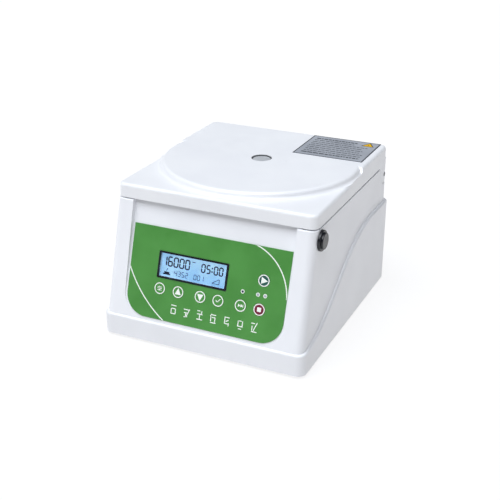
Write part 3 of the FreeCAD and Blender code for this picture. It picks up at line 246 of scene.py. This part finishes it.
def circuitLaminate(name):
    # green solder mask over glass cloth
    material, shader = newMaterial(name, "#1F6B3A", {"Roughness": 0.35, "IOR": 1.55})
    varyColour(material, shader, "#17552D", "#2A7A45", 3)
    addGrain(material, shader, 1.2, 0.03)
    return material


spinY = sum(corner.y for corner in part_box("lid_window")) / 2
tilt = math.asin(-next(j for j in frame["joints"] if j["name"] == "press_stop")["axis"][2])

finishes = {
    "housingAbs": mouldedAbs("housingAbs", "#ECEDF1", "#F0F1F5"),
    "lidAbs": mouldedAbs("lidAbs", "#F0F1F5", "#F4F5F8", grainDepth=0.008, low=0.34, high=0.42),
    "linerAbs": mouldedAbs("linerAbs", "#CDD1D6", "#D6DADF", 1.0, 0.03, 0.45, 0.55),
    "greenFilm": printedPolyester("greenFilm", "#468A3B", "#4E9343"),
    "greenKey": printedPolyester("greenKey", "#468A3B", "#4E9343"),
    "startKey": printedPolyester("startKey", "#1F4F47", "#2C6157"),
    "stopKey": printedPolyester("stopKey", "#64082A", "#7A1235"),
    "whiteInk": screenInk("whiteInk", "#F4F8F2"),
    "blackInk": screenInk("blackInk", "#2E3238"),
    "amberInk": screenInk("amberInk", "#E9B600"),
    "digitInk": screenInk("digitInk", "#0E1540"),
    "faintDigitInk": screenInk("faintDigitInk", "#4A639C"),
    "blackGloss": glossyMoulding("blackGloss", "#1B1D22", "#262930"),
    "blackMoulding": glossyMoulding("blackMoulding", "#161719", "#202226", 0.38, 0.0),
    "navyMoulding": glossyMoulding("navyMoulding", "#0B0D14", "#12151E", 0.26, 0.0),
    "paleLamp": glossyMoulding("paleLamp", "#9A9FB0", "#B4B8C6"),
    "darkLamp": glossyMoulding("darkLamp", "#20264A", "#2B3158"),
    "frostedLens": frostedAcrylic("frostedLens", "#D2D5DA", "#E2E5E9"),
    "blackRubber": mattRubber("blackRubber", "#141414", "#1E1E1F"),
    "greyRubber": mattRubber("greyRubber", "#35373A", "#44474B"),
    "stainless": turnedMetal("stainless", "#A8ABB0", "#C4C7CB", 0.18, (0, spinY), 1.2),
    "anodised": turnedMetal("anodised", "#8E949E", "#A9AFB8", 0.28, (0, spinY)),
    "blackAnodised": turnedMetal("blackAnodised", "#26282D", "#34373D", 0.3, (0, spinY)),
    "castAluminium": brushedMetal("castAluminium", "#7C8085", "#989CA2", 0.4, (1, 1, 1), 2.0),
    "zincSteel": brushedMetal("zincSteel", "#A4A7AB", "#BDC0C4", 0.25, (1, 1, 0.08)),
    "darkSteel": brushedMetal("darkSteel", "#4A4C50", "#62656A", 0.3, (0.08, 1, 1)),
    "brass": brushedMetal("brass", "#B08A45", "#C9A65A", 0.25, (1, 0.1, 1)),
    "labelFoil": printedPolyester("labelFoil", "#A2A6AE", "#AEB2BA"),
    "basePowder": powderCoat("basePowder", "#4C4F54", "#585B61"),
    "rearPowder": powderCoat("rearPowder", "#CDD1D6", "#D9DDE2"),
    "clearWindow": clearAcrylic("clearWindow", "#F2F8FC", 0.01),
    "litGlass": litCrystal("litGlass", "#93C1E6", "#B4D8F2", -math.pi / 2 + tilt),
    "laminate": circuitLaminate("laminate"),
    "nylon": mouldedAbs("nylon", "#DAD9D2", "#E4E3DC"),
    "blueSleeve": glossyMoulding("blueSleeve", "#1A2450", "#233066", 0.3),
}
print("materials made")

nodeFinishes = {
    "housing_shell": "housingAbs", "base_plate": "basePowder", "rubber_feet": "blackRubber",
    "housing_screws": "zincSteel", "rear_panel": "rearPowder", "power_inlet": "blackMoulding",
    "inlet_pins": "brass", "fuse_drawer": "blackMoulding", "switch_body": "blackMoulding",
    "switch_rocker": "blackGloss", "membrane_overlay": "greenFilm", "display_bezel": "blackGloss",
    "display_window": "clearWindow", "lcd_glass": "litGlass", "lcd_module": "blackMoulding",
    "tact_switches": "blackMoulding", "status_leds": "paleLamp", "control_board": "laminate",
    "chamber_bowl": "stainless", "chamber_gasket": "greyRubber", "shaft_boot": "greyRubber",
    "rubber_dampers": "blackRubber", "motor_plate": "zincSteel", "motor_can": "castAluminium",
    "motor_end_cap": "castAluminium", "motor_bearings": "zincSteel", "stator_core": "darkSteel",
    "motor_magnet": "darkSteel", "motor_shaft": "zincSteel", "rotor": "anodised", "rotor_nut": "blackAnodised",
    "lid_shell": "lidAbs", "lid_liner": "linerAbs", "lid_screws": "zincSteel", "lid_window": "frostedLens",
    "lid_label": "labelFoil", "hinge_pins": "darkSteel", "hinge_washers": "nylon",
    "hinge_brackets": "zincSteel", "lock_bushing": "navyMoulding", "lock_nut": "blackMoulding",
    "lock_knob": "navyMoulding", "lock_pin": "zincSteel",
    "striker": "zincSteel", "board_standoffs": "brass", "power_board": "laminate", "driver_board": "laminate",
    "power_transformer": "darkSteel", "capacitors": "blueSleeve", "heat_sink": "castAluminium",
    "motor_lead": "blackMoulding", "mains_lead": "blackMoulding", "panel_ribbon": "nylon",
    "key_settings": "greenKey", "key_up": "greenKey", "key_down": "greenKey", "key_confirm": "greenKey",
    "key_pulse": "greenKey", "key_stop": "stopKey", "key_start": "startKey",
}
for nodeName, finishName in nodeFinishes.items():
    nodes[nodeName].data.materials.clear()
    nodes[nodeName].data.materials.append(finishes[finishName])


# helpers for finishing pieces
def bodyOf(nodeName):
    return next(body for body, held in frame["record"]["behaviour"]["bodies"].items() if nodeName in held)


def only(obj):
    bpy.ops.object.select_all(action="DESELECT")
    obj.select_set(True)
    bpy.context.view_layer.objects.active = obj


def applyPlace(obj):
    only(obj)
    bpy.ops.object.transform_apply(location=True, rotation=True, scale=True)


def joinAll(parts):
    bpy.ops.object.select_all(action="DESELECT")
    for part in parts:
        part.select_set(True)
    bpy.context.view_layer.objects.active = parts[0]
    if len(parts) > 1:
        bpy.ops.object.join()
    return bpy.context.object


def applyModifier(obj, kind, settings):
    only(obj)
    modifier = obj.modifiers.new(kind.title(), kind)
    for key, value in settings.items():
        setattr(modifier, key, value)
    bpy.ops.object.modifier_apply(modifier=modifier.name)


def finishPiece(obj, name, body, finishName):
    obj.name = name
    obj.data.name = name
    obj.data.materials.clear()
    obj.data.materials.append(finishes[finishName])
    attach(obj, body)
    return obj


smoothing = {"angle": 32, "mergeMm": 0.004, "weight": 80}


def smoothed(nodeName):
    # the CAD piece with its facets merged, so that rounds shade as rounds and flats stay flat
    only(nodes[nodeName])
    bpy.ops.object.duplicate()
    copy = bpy.context.object
    bpy.ops.object.parent_clear(type="CLEAR_KEEP_TRANSFORM")
    bpy.ops.object.mode_set(mode="EDIT")
    bpy.ops.mesh.select_all(action="SELECT")
    bpy.ops.mesh.remove_doubles(threshold=smoothing["mergeMm"] * mm)
    bpy.ops.object.mode_set(mode="OBJECT")
    if copy.data.has_custom_normals:
        bpy.ops.mesh.customdata_custom_splitnormals_clear()
    bpy.ops.object.shade_smooth_by_angle(angle=math.radians(smoothing["angle"]))
    applyModifier(copy, "WEIGHTED_NORMAL", {"weight": smoothing["weight"], "keep_sharp": True})
    finishPiece(copy, nodeName + "_finished", bodyOf(nodeName), nodeFinishes[nodeName])
    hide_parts(nodeName)
    return copy


roundedNodes = [
    "housing_shell", "lid_shell", "lid_liner", "lid_window", "lid_label", "membrane_overlay", "display_bezel",
    "status_leds", "chamber_bowl", "chamber_gasket", "shaft_boot", "motor_can", "motor_shaft", "rotor",
    "rotor_nut", "rubber_feet", "power_inlet", "switch_body", "switch_rocker", "lock_bushing", "lock_knob",
    "lock_pin", "hinge_pins", "housing_screws", "lid_screws", "key_settings", "key_up", "key_down",
    "key_confirm", "key_pulse", "key_stop", "key_start",
]
for nodeName in roundedNodes:
    smoothed(nodeName)
print("CAD pieces finished")


# flat marks, drawn in x and y and then laid on a face
def bar(x, y, width, height, turn=0.0, clipped=0.0):
    bpy.ops.object.select_all(action="DESELECT")
    bpy.ops.mesh.primitive_plane_add(size=1, location=(x * mm, y * mm, 0), rotation=(0, 0, turn))
    made = bpy.context.object
    made.scale = (width * mm, height * mm, 1)
    applyPlace(made)
    if clipped:
        bpy.ops.object.mode_set(mode="EDIT")
        bpy.ops.mesh.select_all(action="SELECT")
        bpy.ops.mesh.bevel(offset=clipped * mm, affect="VERTICES", segments=1)
        bpy.ops.object.mode_set(mode="OBJECT")
    return made


def disc(x, y, radius, corners=40, turn=0.0):
    bpy.ops.object.select_all(action="DESELECT")
    bpy.ops.mesh.primitive_circle_add(vertices=corners, radius=radius * mm, fill_type="NGON",
                                      location=(x * mm, y * mm, 0), rotation=(0, 0, turn))
    made = bpy.context.object
    applyPlace(made)
    return made


def hoop(x, y, outer, inner, corners=56):
    made = disc(x, y, outer, corners)
    bpy.ops.object.mode_set(mode="EDIT")
    bpy.ops.mesh.select_all(action="SELECT")
    bpy.ops.mesh.inset(thickness=(outer - inner) * mm)
    bpy.ops.mesh.delete(type="FACE")
    bpy.ops.object.mode_set(mode="OBJECT")
    return made


def pick(obj, wanted):
    # leaves the object in edit mode with the vertices picked by their place
    only(obj)
    bpy.ops.object.mode_set(mode="EDIT")
    bpy.ops.mesh.select_mode(type="VERT")
    bpy.ops.mesh.select_all(action="DESELECT")
    bpy.ops.object.mode_set(mode="OBJECT")
    for vertex in obj.data.vertices:
        vertex.select = wanted(vertex.co)
    bpy.ops.object.mode_set(mode="EDIT")


def stripe(x, y, radius, width, start, end, steps=48):
    # a short radial edge, one side of a thin bar, spun about (x, y) gives a curved stripe
    made = bar(x + radius, y, width, 0.02)
    pick(made, lambda co: co.y > y * mm)
    bpy.ops.mesh.delete(type="VERT")
    bpy.ops.object.mode_set(mode="OBJECT")
    made.matrix_world = Matrix.Translation((x * mm, y * mm, 0)) @ Matrix.Rotation(math.radians(start), 4, "Z") \
        @ Matrix.Translation((-x * mm, -y * mm, 0))
    applyPlace(made)
    bpy.ops.object.mode_set(mode="EDIT")
    bpy.ops.mesh.select_all(action="SELECT")
    bpy.ops.mesh.spin(steps=steps, angle=math.radians(end - start), center=(x * mm, y * mm, 0), axis=(0, 0, -1))
    bpy.ops.object.mode_set(mode="OBJECT")
    return made


def layMarks(parts, matrix, thick, name, body, finishName):
    # joined marks get their thickness and are laid on a face
    marks = joinAll(parts)
    bpy.ops.object.mode_set(mode="EDIT")
    bpy.ops.mesh.select_all(action="SELECT")
    bpy.ops.mesh.remove_doubles(threshold=0.001 * mm)
    bpy.ops.mesh.normals_make_consistent(inside=False)
    bpy.ops.object.mode_set(mode="OBJECT")
    if sum(face.normal.z for face in marks.data.polygons) < 0:
        bpy.ops.object.mode_set(mode="EDIT")
        bpy.ops.mesh.select_all(action="SELECT")
        bpy.ops.mesh.flip_normals()
        bpy.ops.object.mode_set(mode="OBJECT")
    applyModifier(marks, "SOLIDIFY", {"thickness": thick * mm, "offset": 1.0})
    marks.matrix_world = matrix
    applyPlace(marks)
    return finishPiece(marks, name, body, finishName)


# control panel
panel = {"filmThick": 0.8, "inkThick": 0.06, "ringWidth": 1.15, "ringOut": 7.1}
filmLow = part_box("membrane_overlay")[0]
across = Vector((1, 0, 0))
upSlope = Vector((0, math.sin(tilt), math.cos(tilt)))
outward = Vector((0, -math.cos(tilt), math.sin(tilt)))
panelFoot = Vector((0, filmLow.y, filmLow.z + panel["filmThick"] * mm * math.sin(tilt)))


def onPanel(height):
    # x stays, y runs up the slope from the film's lower edge, z out of the film's face
    turned = Matrix((across, upSlope, outward)).transposed().to_4x4()
    return Matrix.Translation(panelFoot + outward * height * mm) @ turned


def panelPlaceOf(nodeName):
    # middle of a part in the panel's x and y, and the height of its face, in millimetres
    toPanel = onPanel(0).inverted()
    points = [toPanel @ vertex.co for vertex in nodes[nodeName].data.vertices]
    spans = [(min(p[k] for p in points) / mm, max(p[k] for p in points) / mm) for k in range(3)]
    return (spans[0][0] + spans[0][1]) / 2, (spans[1][0] + spans[1][1]) / 2, spans[2][1], spans


def iconSettings():
    marks = []
    for height, knob in ((1.9, -1.1), (0.0, 1.3), (-1.9, -0.4)):
        marks += [bar(0, height, 6.4, 0.55), disc(knob, height, 0.95, 20)]
    return marks


def iconTriangle(turn, size=4.7, stretch=1.18):
    made = disc(0, -0.3, size, 3)
    made.scale = (1, stretch, 1)
    applyPlace(made)
    made.rotation_euler = (0, 0, turn)
    applyPlace(made)
    return [made]


def iconConfirm():
    return [bar(-1.75, -0.7, 3.2, 0.9, math.radians(-45)), bar(1.05, 0.35, 5.9, 0.9, math.radians(48))]


def iconPulse():
    return [disc(-1.9, 0, 2.2, 3, -math.pi / 2), disc(1.5, 0, 2.2, 3, -math.pi / 2), bar(3.4, 0, 0.7, 3.8)]


def iconStop():
    return [bar(0, 0, 5.2, 5.2, 0, 0.5)]


keyIcons = {
    "key_settings": iconSettings, "key_up": lambda: iconTriangle(0), "key_down": lambda: iconTriangle(math.pi),
    "key_confirm": iconConfirm, "key_pulse": iconPulse, "key_stop": iconStop,
    "key_start": lambda: iconTriangle(-math.pi / 2),
}
for nodeName, drawIcon in keyIcons.items():
    x, y, face, spans = panelPlaceOf(nodeName)
    icon = drawIcon()
    icon.append(hoop(0, 0, panel["ringOut"], panel["ringOut"] - panel["ringWidth"]))
    place = onPanel(face) @ Matrix.Translation((x * mm, y * mm, 0))
    layMarks(icon, place, panel["inkThick"], nodeName + "_mark", bodyOf(nodeName), "whiteInk")

swoosh = {"width": 1.35, "right": (41.0, 52.2, 63.9, 4.0, 78.0), "left": (30.2, 128.6, 152.1, -154.5, -121.0),
          "inside": 0.3}
filmSpans = panelPlaceOf("membrane_overlay")[3]
printed = []
for side in ("right", "left"):
    x, y, radius, start, end = swoosh[side]
    curve = stripe(x, y, radius, swoosh["width"], start, end)
    for axis in (0, 1):  # cut off what would reach past the film's edges
        for sign in (-1, 1):
            edge = (filmSpans[axis][(sign + 1) // 2] - sign * swoosh["inside"]) * mm
            facing = (sign, 0, 0) if axis == 0 else (0, sign, 0)
            onEdge = [edge * abs(part) for part in facing]
            bpy.ops.object.mode_set(mode="EDIT")
            bpy.ops.mesh.select_all(action="SELECT")
            bpy.ops.mesh.bisect(plane_co=onEdge, plane_no=facing, clear_outer=True)
            bpy.ops.object.mode_set(mode="OBJECT")
    printed.append(curve)
wordMarks = {"middle": 16.5, "first": -38.6, "pitch": 17.95, "wide": 8.0, "high": 12.0, "stroke": 1.1}
strokes = (  # seven plain marks stand where a name would be: x, y, length and turn, as shares of a mark
    ((0, 0.42, 0.9, 0), (0, 0.1, 0.7, 0), (0, -0.42, 0.8, 0), (-0.36, -0.16, 0.5, 90), (0.36, -0.16, 0.5, 90)),
    ((0, 0.28, 1, 0), (-0.1, -0.05, 0.6, 0), (-0.1, -0.24, 0.5, 90), (0.24, -0.05, 0.9, 68),
     (-0.1, -0.46, 0.6, 8)),
    ((-0.2, 0.44, 0.5, 0), (0.3, 0.3, 0.3, 90), (0, 0.12, 0.9, 0), (0, -0.16, 0.5, 90), (0, -0.42, 1, 0)),
    ((-0.36, 0.3, 0.3, 60), (-0.36, -0.1, 0.5, 90), (0.12, 0.34, 0.7, 0), (0.12, 0.08, 0.6, 0),
     (0.34, -0.16, 0.5, 90), (0.06, -0.46, 0.9, 0)),
    ((-0.3, 0.1, 0.7, 90), (0.1, 0.4, 0.7, 0), (0.1, 0.06, 0.5, 30), (0.1, -0.24, 0.7, 0),
     (0.36, -0.3, 0.3, 90)),
    ((-0.36, 0.1, 0.5, 90), (0.36, 0.1, 0.5, 90), (0, -0.2, 0.9, 0), (0, -0.46, 0.5, 0), (0, 0.34, 0.4, 0)),
    ((-0.2, 0.4, 0.6, 0), (0.2, 0.1, 0.9, 68), (-0.3, -0.1, 0.5, 90), (0.06, -0.44, 0.9, 0)),
)
for step, drawn in enumerate(strokes):
    for xShare, yShare, length, turn in drawn:
        size = wordMarks["high"] if turn > 45 else wordMarks["wide"]
        x = wordMarks["first"] + step * wordMarks["pitch"] + xShare * wordMarks["wide"]
        y = wordMarks["middle"] + yShare * wordMarks["high"]
        printed.append(bar(x, y, length * size, wordMarks["stroke"], math.radians(turn)))
lamps = {"x": (48.9, 68.6, 77.8), "hoopOuter": 2.45, "hoopInner": 1.65, "tipRadius": 1.28, "tipRise": 0.35}
lampY = panelPlaceOf("status_leds")[1]
for x in lamps["x"]:
    printed.append(hoop(x, lampY, lamps["hoopOuter"], lamps["hoopInner"], 28))
layMarks(printed, onPanel(0), panel["inkThick"], "panel_print", "housing", "whiteInk")
for number, x in enumerate(lamps["x"]):  # the domed tips of the lamps, the first one dark
    bpy.ops.object.select_all(action="DESELECT")
    bpy.ops.mesh.primitive_uv_sphere_add(segments=28, ring_count=14, radius=lamps["tipRadius"] * mm)
    tip = bpy.context.object
    pick(tip, lambda co: co.z < -0.01 * mm)
    bpy.ops.mesh.delete(type="VERT")
    bpy.ops.mesh.select_all(action="DESELECT")
    bpy.ops.mesh.select_non_manifold()
    bpy.ops.mesh.edge_face_add()
    bpy.ops.object.mode_set(mode="OBJECT")
    bpy.ops.object.shade_smooth_by_angle(angle=math.radians(40))
    tip.matrix_world = onPanel(0) @ Matrix.Translation((x * mm, lampY * mm, 0)) \
        @ Matrix.Diagonal((1, 1, lamps["tipRise"], 1))
    applyPlace(tip)
    tipFinish = "darkLamp" if number == 0 else "paleLamp"
    finishPiece(tip, f"lamp_tip_{number + 1}", "housing", tipFinish)
print("panel print made")

# display: seven-segment figures on the glass, placed from the frame's top left corner in millimetres
speed = {"high": 11.0, "wide": 5.2, "pitch": 7.85, "stroke": 1.75, "left": 6.4, "down": 12.0}
clock = {"high": 9.5, "wide": 4.3, "pitch": 6.9, "stroke": 1.65, "left": 59.3, "down": 12.3}
small = {"high": 5.9, "wide": 3.0, "pitch": 4.9, "stroke": 0.85, "down": 25.2}
display = {"inkThick": 0.05, "inkGap": 0.02}
segments = {  # middle x and y as shares of the digit, and whether it stands up
    "a": (0, 1, False), "b": (1, 0.5, True), "c": (1, -0.5, True), "d": (0, -1, False),
    "e": (-1, -0.5, True), "f": (-1, 0.5, True), "g": (0, 0, False),
}
shape = {"join": 0.12, "clip": 0.42, "colonBack": 0.28, "colonRise": 0.22, "colonDot": 0.62, "colonStep": 0.45}
digitSegments = {
    "0": "abcdef", "1": "bc", "2": "abged", "3": "abgcd", "4": "fgbc", "5": "afgcd", "6": "afgcde", "7": "abc",
    "8": "abcdefg", "9": "abcdfg",
}


def digit(figure, x, y, wide, high, stroke):
    drawn = []
    for name in digitSegments[figure]:
        acrossShare, upShare, stands = segments[name]
        place = (x + acrossShare * wide / 2, y + upShare * high / 2)
        length = (high / 2 if stands else wide) - shape["join"] * stroke
        turn = math.pi / 2 if stands else 0
        drawn.append(bar(place[0], place[1], length, stroke, turn, stroke * shape["clip"]))
    return drawn


def figures(text, x, y, wide, high, pitch, stroke):
    drawn = []
    for figure in text:
        if figure == ":":
            dotX, dotRise = x - pitch * shape["colonBack"], high * shape["colonRise"]
            drawn += [disc(dotX, y + side * dotRise, stroke * shape["colonDot"], 14) for side in (-1, 1)]
            x += pitch * shape["colonStep"]
        else:
            drawn += digit(figure, x, y, wide, high, stroke)
            x += pitch
    return drawn


glassFace = panelPlaceOf("lcd_glass")[2]
frameSpans = panelPlaceOf("display_bezel")[3]
frameLeft, frameTop = frameSpans[0][0], frameSpans[1][1]


def reading(text, style, left):
    return figures(text, frameLeft + left, frameTop - style["down"], style["wide"], style["high"],
                   style["pitch"], style["stroke"])


def dash(x, down, wide, high, turn=0.0):
    return bar(frameLeft + x, frameTop - down, wide, high, math.radians(turn))


bright = reading("16000", speed, speed["left"]) + reading("05:00", clock, clock["left"])
bright += [dash(11.0, 28.0, 10.2, 1.7), dash(11.0, 26.2, 7.0, 2.2), dash(45.8, 7.4, 4.6, 0.9)]
lay = onPanel(glassFace + display["inkGap"])
layMarks(bright, lay, display["inkThick"], "display_figures", "housing", "digitInk")
faint = reading("4352", small, 23.2) + reading("001", small, 49.6)
faint += [dash(77.2, 24.8, 10.6, 0.8, 33), dash(77.8, 28.0, 9.4, 0.8), dash(82.1, 25.0, 0.8, 6.2)]
faint.append(dash(11.0, 22.4, 0.9, 3.6, -25))
layMarks(faint, lay, display["inkThick"], "display_small_figures", "housing", "faintDigitInk")
print("display drawn")

# lid: a dark ring round the lens, whose grey is painted shade for the shadowed rim of the recessed lens, and
# the label
lensLow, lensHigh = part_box("lid_window")
lens = {"seatRadius": (lensHigh.x - lensLow.x) / 2, "cord": 0.75, "lift": 0.35}
# grey rubber torus on the lens's seat: its dark tone is painted shade standing for the shadow at the rim of the
# recessed lens
bpy.ops.object.select_all(action="DESELECT")
bpy.ops.mesh.primitive_torus_add(
    major_segments=72, minor_segments=14, major_radius=lens["seatRadius"] - lens["cord"] * mm,
    minor_radius=lens["cord"] * mm, location=(0, spinY, lensHigh.z + lens["lift"] * mm),
)
lensShadeRing = bpy.context.object
applyPlace(lensShadeRing)
bpy.ops.object.shade_smooth()
finishPiece(lensShadeRing, "lens_shade_ring", "lid", "greyRubber")

label = {"margin": 0.8, "edge": 1.5, "rows": 9, "inkThick": 0.05, "triangle": 8.0, "seed": 7, "left": 7.0,
         "top": 11.0, "spare": 14.0, "right": 7.0, "rightOfSign": 28.0, "ragged": 12.0, "heading": 3.0,
         "text": 1.9, "gap": 1.2, "signX": 14.0, "signY": 12.5}
labelLow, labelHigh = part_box("lid_label")
labelWide = (labelHigh.x - labelLow.x) / mm
labelDeep = (labelHigh.y - labelLow.y) / mm
labelPlace = Matrix.Translation((labelLow.x, labelLow.y, labelHigh.z))
rng = random.Random(label["seed"])
marks = []
for x, y, wide, high in ((0, 1, 1, 0), (0, -1, 1, 0), (1, 0, 0, 1), (-1, 0, 0, 1)):
    inset = label["margin"]
    marks.append(bar(labelWide / 2 + x * (labelWide / 2 - inset), labelDeep / 2 + y * (labelDeep / 2 - inset),
                     wide * (labelWide - 2 * inset) + label["edge"],
                     high * (labelDeep - 2 * inset) + label["edge"]))
rowPitch = (labelDeep - label["spare"]) / label["rows"]
for row in range(label["rows"]):
    y = labelDeep - label["top"] - row * rowPitch
    x = label["left"] + rng.random() * 2
    heading = row in (0, label["rows"] - 1)
    rowEnd = labelWide - label["rightOfSign" if row < 2 else "right"] - rng.random() * label["ragged"]
    while x < rowEnd:
        word = min(2.0 + rng.random() * 6.0, rowEnd - x)
        marks.append(bar(x + word / 2, y, word, label["heading" if heading else "text"]))
        x += word + label["gap"]
layMarks(marks, labelPlace, label["inkThick"], "label_print", "lid", "blackInk")
signX, signY = labelWide - label["signX"], labelDeep - label["signY"]
for name, thickness, finishName, drawn in (
    ("label_sign", 1.5, "amberInk", [disc(signX, signY, label["triangle"], 3)]),
    ("label_sign_edge", 1.0, "blackInk", [disc(signX, signY, label["triangle"] * 1.3, 3)]),
    ("label_sign_mark", 2.2, "blackInk", [bar(signX, signY + 0.7, 0.9, 3.0),
                                          disc(signX, signY - 1.7, 0.55, 12)]),
):
    layMarks(drawn, labelPlace, label["inkThick"] * thickness, name, "lid", finishName)
print("lid details made")

# rotor: a number beside each tube place
rotorMarks = {"radius": 61.0, "rim": 53.0, "size": 6.4, "count": 12, "lift": 0.02, "thick": 0.04}
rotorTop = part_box("rotor")[1].z
for step in range(rotorMarks["count"]):
    bpy.ops.object.select_all(action="DESELECT")
    bpy.ops.object.text_add()
    text = bpy.context.object
    text.data.body = str(step + 1)
    text.data.size = rotorMarks["size"] * mm
    text.data.align_x = "CENTER"
    text.data.align_y = "CENTER"
    text.data.extrude = rotorMarks["thick"] * mm
    bpy.ops.object.convert(target="MESH")
    angle = 2 * math.pi / rotorMarks["count"] * (step + 0.5)
    height = rotorTop - (rotorMarks["radius"] - rotorMarks["rim"]) * mm
    text.matrix_world = Matrix.Translation((0, spinY, 0)) @ Matrix.Rotation(angle, 4, "Z") \
        @ Matrix.Translation((rotorMarks["radius"] * mm, 0, height + rotorMarks["lift"] * mm)) \
        @ Matrix.Rotation(math.pi / 4, 4, "Y") @ Matrix.Rotation(math.pi / 2, 4, "Z")
    applyPlace(text)
    finishPiece(text, f"rotor_number_{step + 1}", "rotor", "blackInk")
print("rotor numbered")

# back: rating plate and rocker marks
plate = {"x": 40.0, "z": 146.0, "wide": 66.0, "high": 30.0, "corner": 2.0, "thick": 0.5, "lean": 0.27,
         "wallY": 152.33, "inkThick": 0.05, "headDown": 5.0, "firstRow": 11.0, "rowPitch": 5.0, "rows": 3}
rearUp = Matrix.Rotation(math.pi, 4, "Z") @ Matrix.Rotation(math.pi / 2, 4, "X")
rearPlace = Matrix.Translation((plate["x"] * mm, plate["wallY"] * mm, plate["z"] * mm)) \
    @ Matrix.Rotation(math.radians(plate["lean"]), 4, "X") @ rearUp
layMarks([bar(0, 0, plate["wide"], plate["high"], 0, plate["corner"])], rearPlace, plate["thick"],
         "rating_plate", "housing", "labelFoil")
rows = [bar(0, plate["high"] / 2 - plate["headDown"], 40, 3.2)]
for row in range(plate["rows"]):
    y = plate["high"] / 2 - plate["firstRow"] - row * plate["rowPitch"]
    rows += [bar(-19, y, 18, 1.5), bar(11, y, 30 - 4 * row, 1.5)]
layMarks(rows, rearPlace @ Matrix.Translation((0, 0, plate["thick"] * mm)), plate["inkThick"], "rating_print",
         "housing", "blackInk")
rocker = nodes["switch_rocker"]
rockerLow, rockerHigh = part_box("switch_rocker")
rockerMiddle = (rockerLow + rockerHigh) / 2
for half, name in ((1, "rocker_on_mark"), (-1, "rocker_off_mark")):
    faces = [face for face in rocker.data.polygons if face.normal.y > 0.8
             and (face.center.z - rockerMiddle.z) * half > 0]
    area = sum(face.area for face in faces)
    middle = sum((face.center * face.area for face in faces), Vector()) / area
    facing = sum((face.normal * face.area for face in faces), Vector()).normalized()
    sideways = Vector((-1, 0, 0))
    turned = Matrix((sideways, facing.cross(sideways), facing)).transposed().to_4x4()
    drawn = bar(0, 0, 0.9, 5.0) if half > 0 else hoop(0, 0, 2.6, 1.8, 32)
    layMarks([drawn], Matrix.Translation(middle) @ turned, 0.04, name, bodyOf("switch_rocker"),
             "whiteInk")
print("back details made")

# floor, light and camera
bpy.ops.object.select_all(action="DESELECT")
bpy.ops.mesh.primitive_plane_add(size=600, location=(0, 0, 0))  # wide enough to reach the horizon
floor = bpy.context.object
floor.name = "floor"
floorPaint, floorShader = newMaterial("floorPaint", "#6E6F72", {"Roughness": 0.9, "Emission Strength": 0.83})
floorShader.inputs["Emission Color"].default_value = linear("#FFFFFF")
floor.data.materials.append(floorPaint)

light = {"energy": 3.75, "colour": "#F6FAFF", "angle": 56, "towards": (0.12, 0.29, -0.95), "sky": "#F6F6FA",
         "skyStrength": 0.05}
bpy.ops.object.light_add(type="SUN", location=(-0.5, -0.7, 2.0))
keyLight = bpy.context.object
keyLight.name = "key_light"
keyLight.data.energy = light["energy"]
keyLight.data.color = linear(light["colour"])[:3]
keyLight.data.angle = math.radians(light["angle"])
keyLight.rotation_euler = Vector(light["towards"]).to_track_quat("-Z", "Y").to_euler()
world = bpy.data.worlds.new("studio")
bpy.context.scene.world = world
world.use_nodes = True
sky = world.node_tree.nodes["Background"]
sky.inputs["Color"].default_value = linear(light["sky"])
sky.inputs["Strength"].default_value = light["skyStrength"]
bpy.context.scene.view_settings.view_transform = "Standard"

cameraView = {"place": (0.47468, -1.05107, 0.59665), "yaw": -24.474, "pitch": -24.190, "roll": 0.307,
              "lens": 68.95}
yaw, pitch, roll = (math.radians(cameraView[part]) for part in ("yaw", "pitch", "roll"))
towards = Vector((math.sin(yaw) * math.cos(pitch), math.cos(yaw) * math.cos(pitch), math.sin(pitch)))
bpy.ops.object.camera_add(location=cameraView["place"])
camera = bpy.context.object
camera.rotation_euler = (towards.to_track_quat("-Z", "Y") @ Quaternion((0, 0, 1), roll)).to_euler()
camera.data.lens = cameraView["lens"]
camera.data.sensor_width = 36
bpy.context.scene.camera = camera
print("floor, light and camera set")
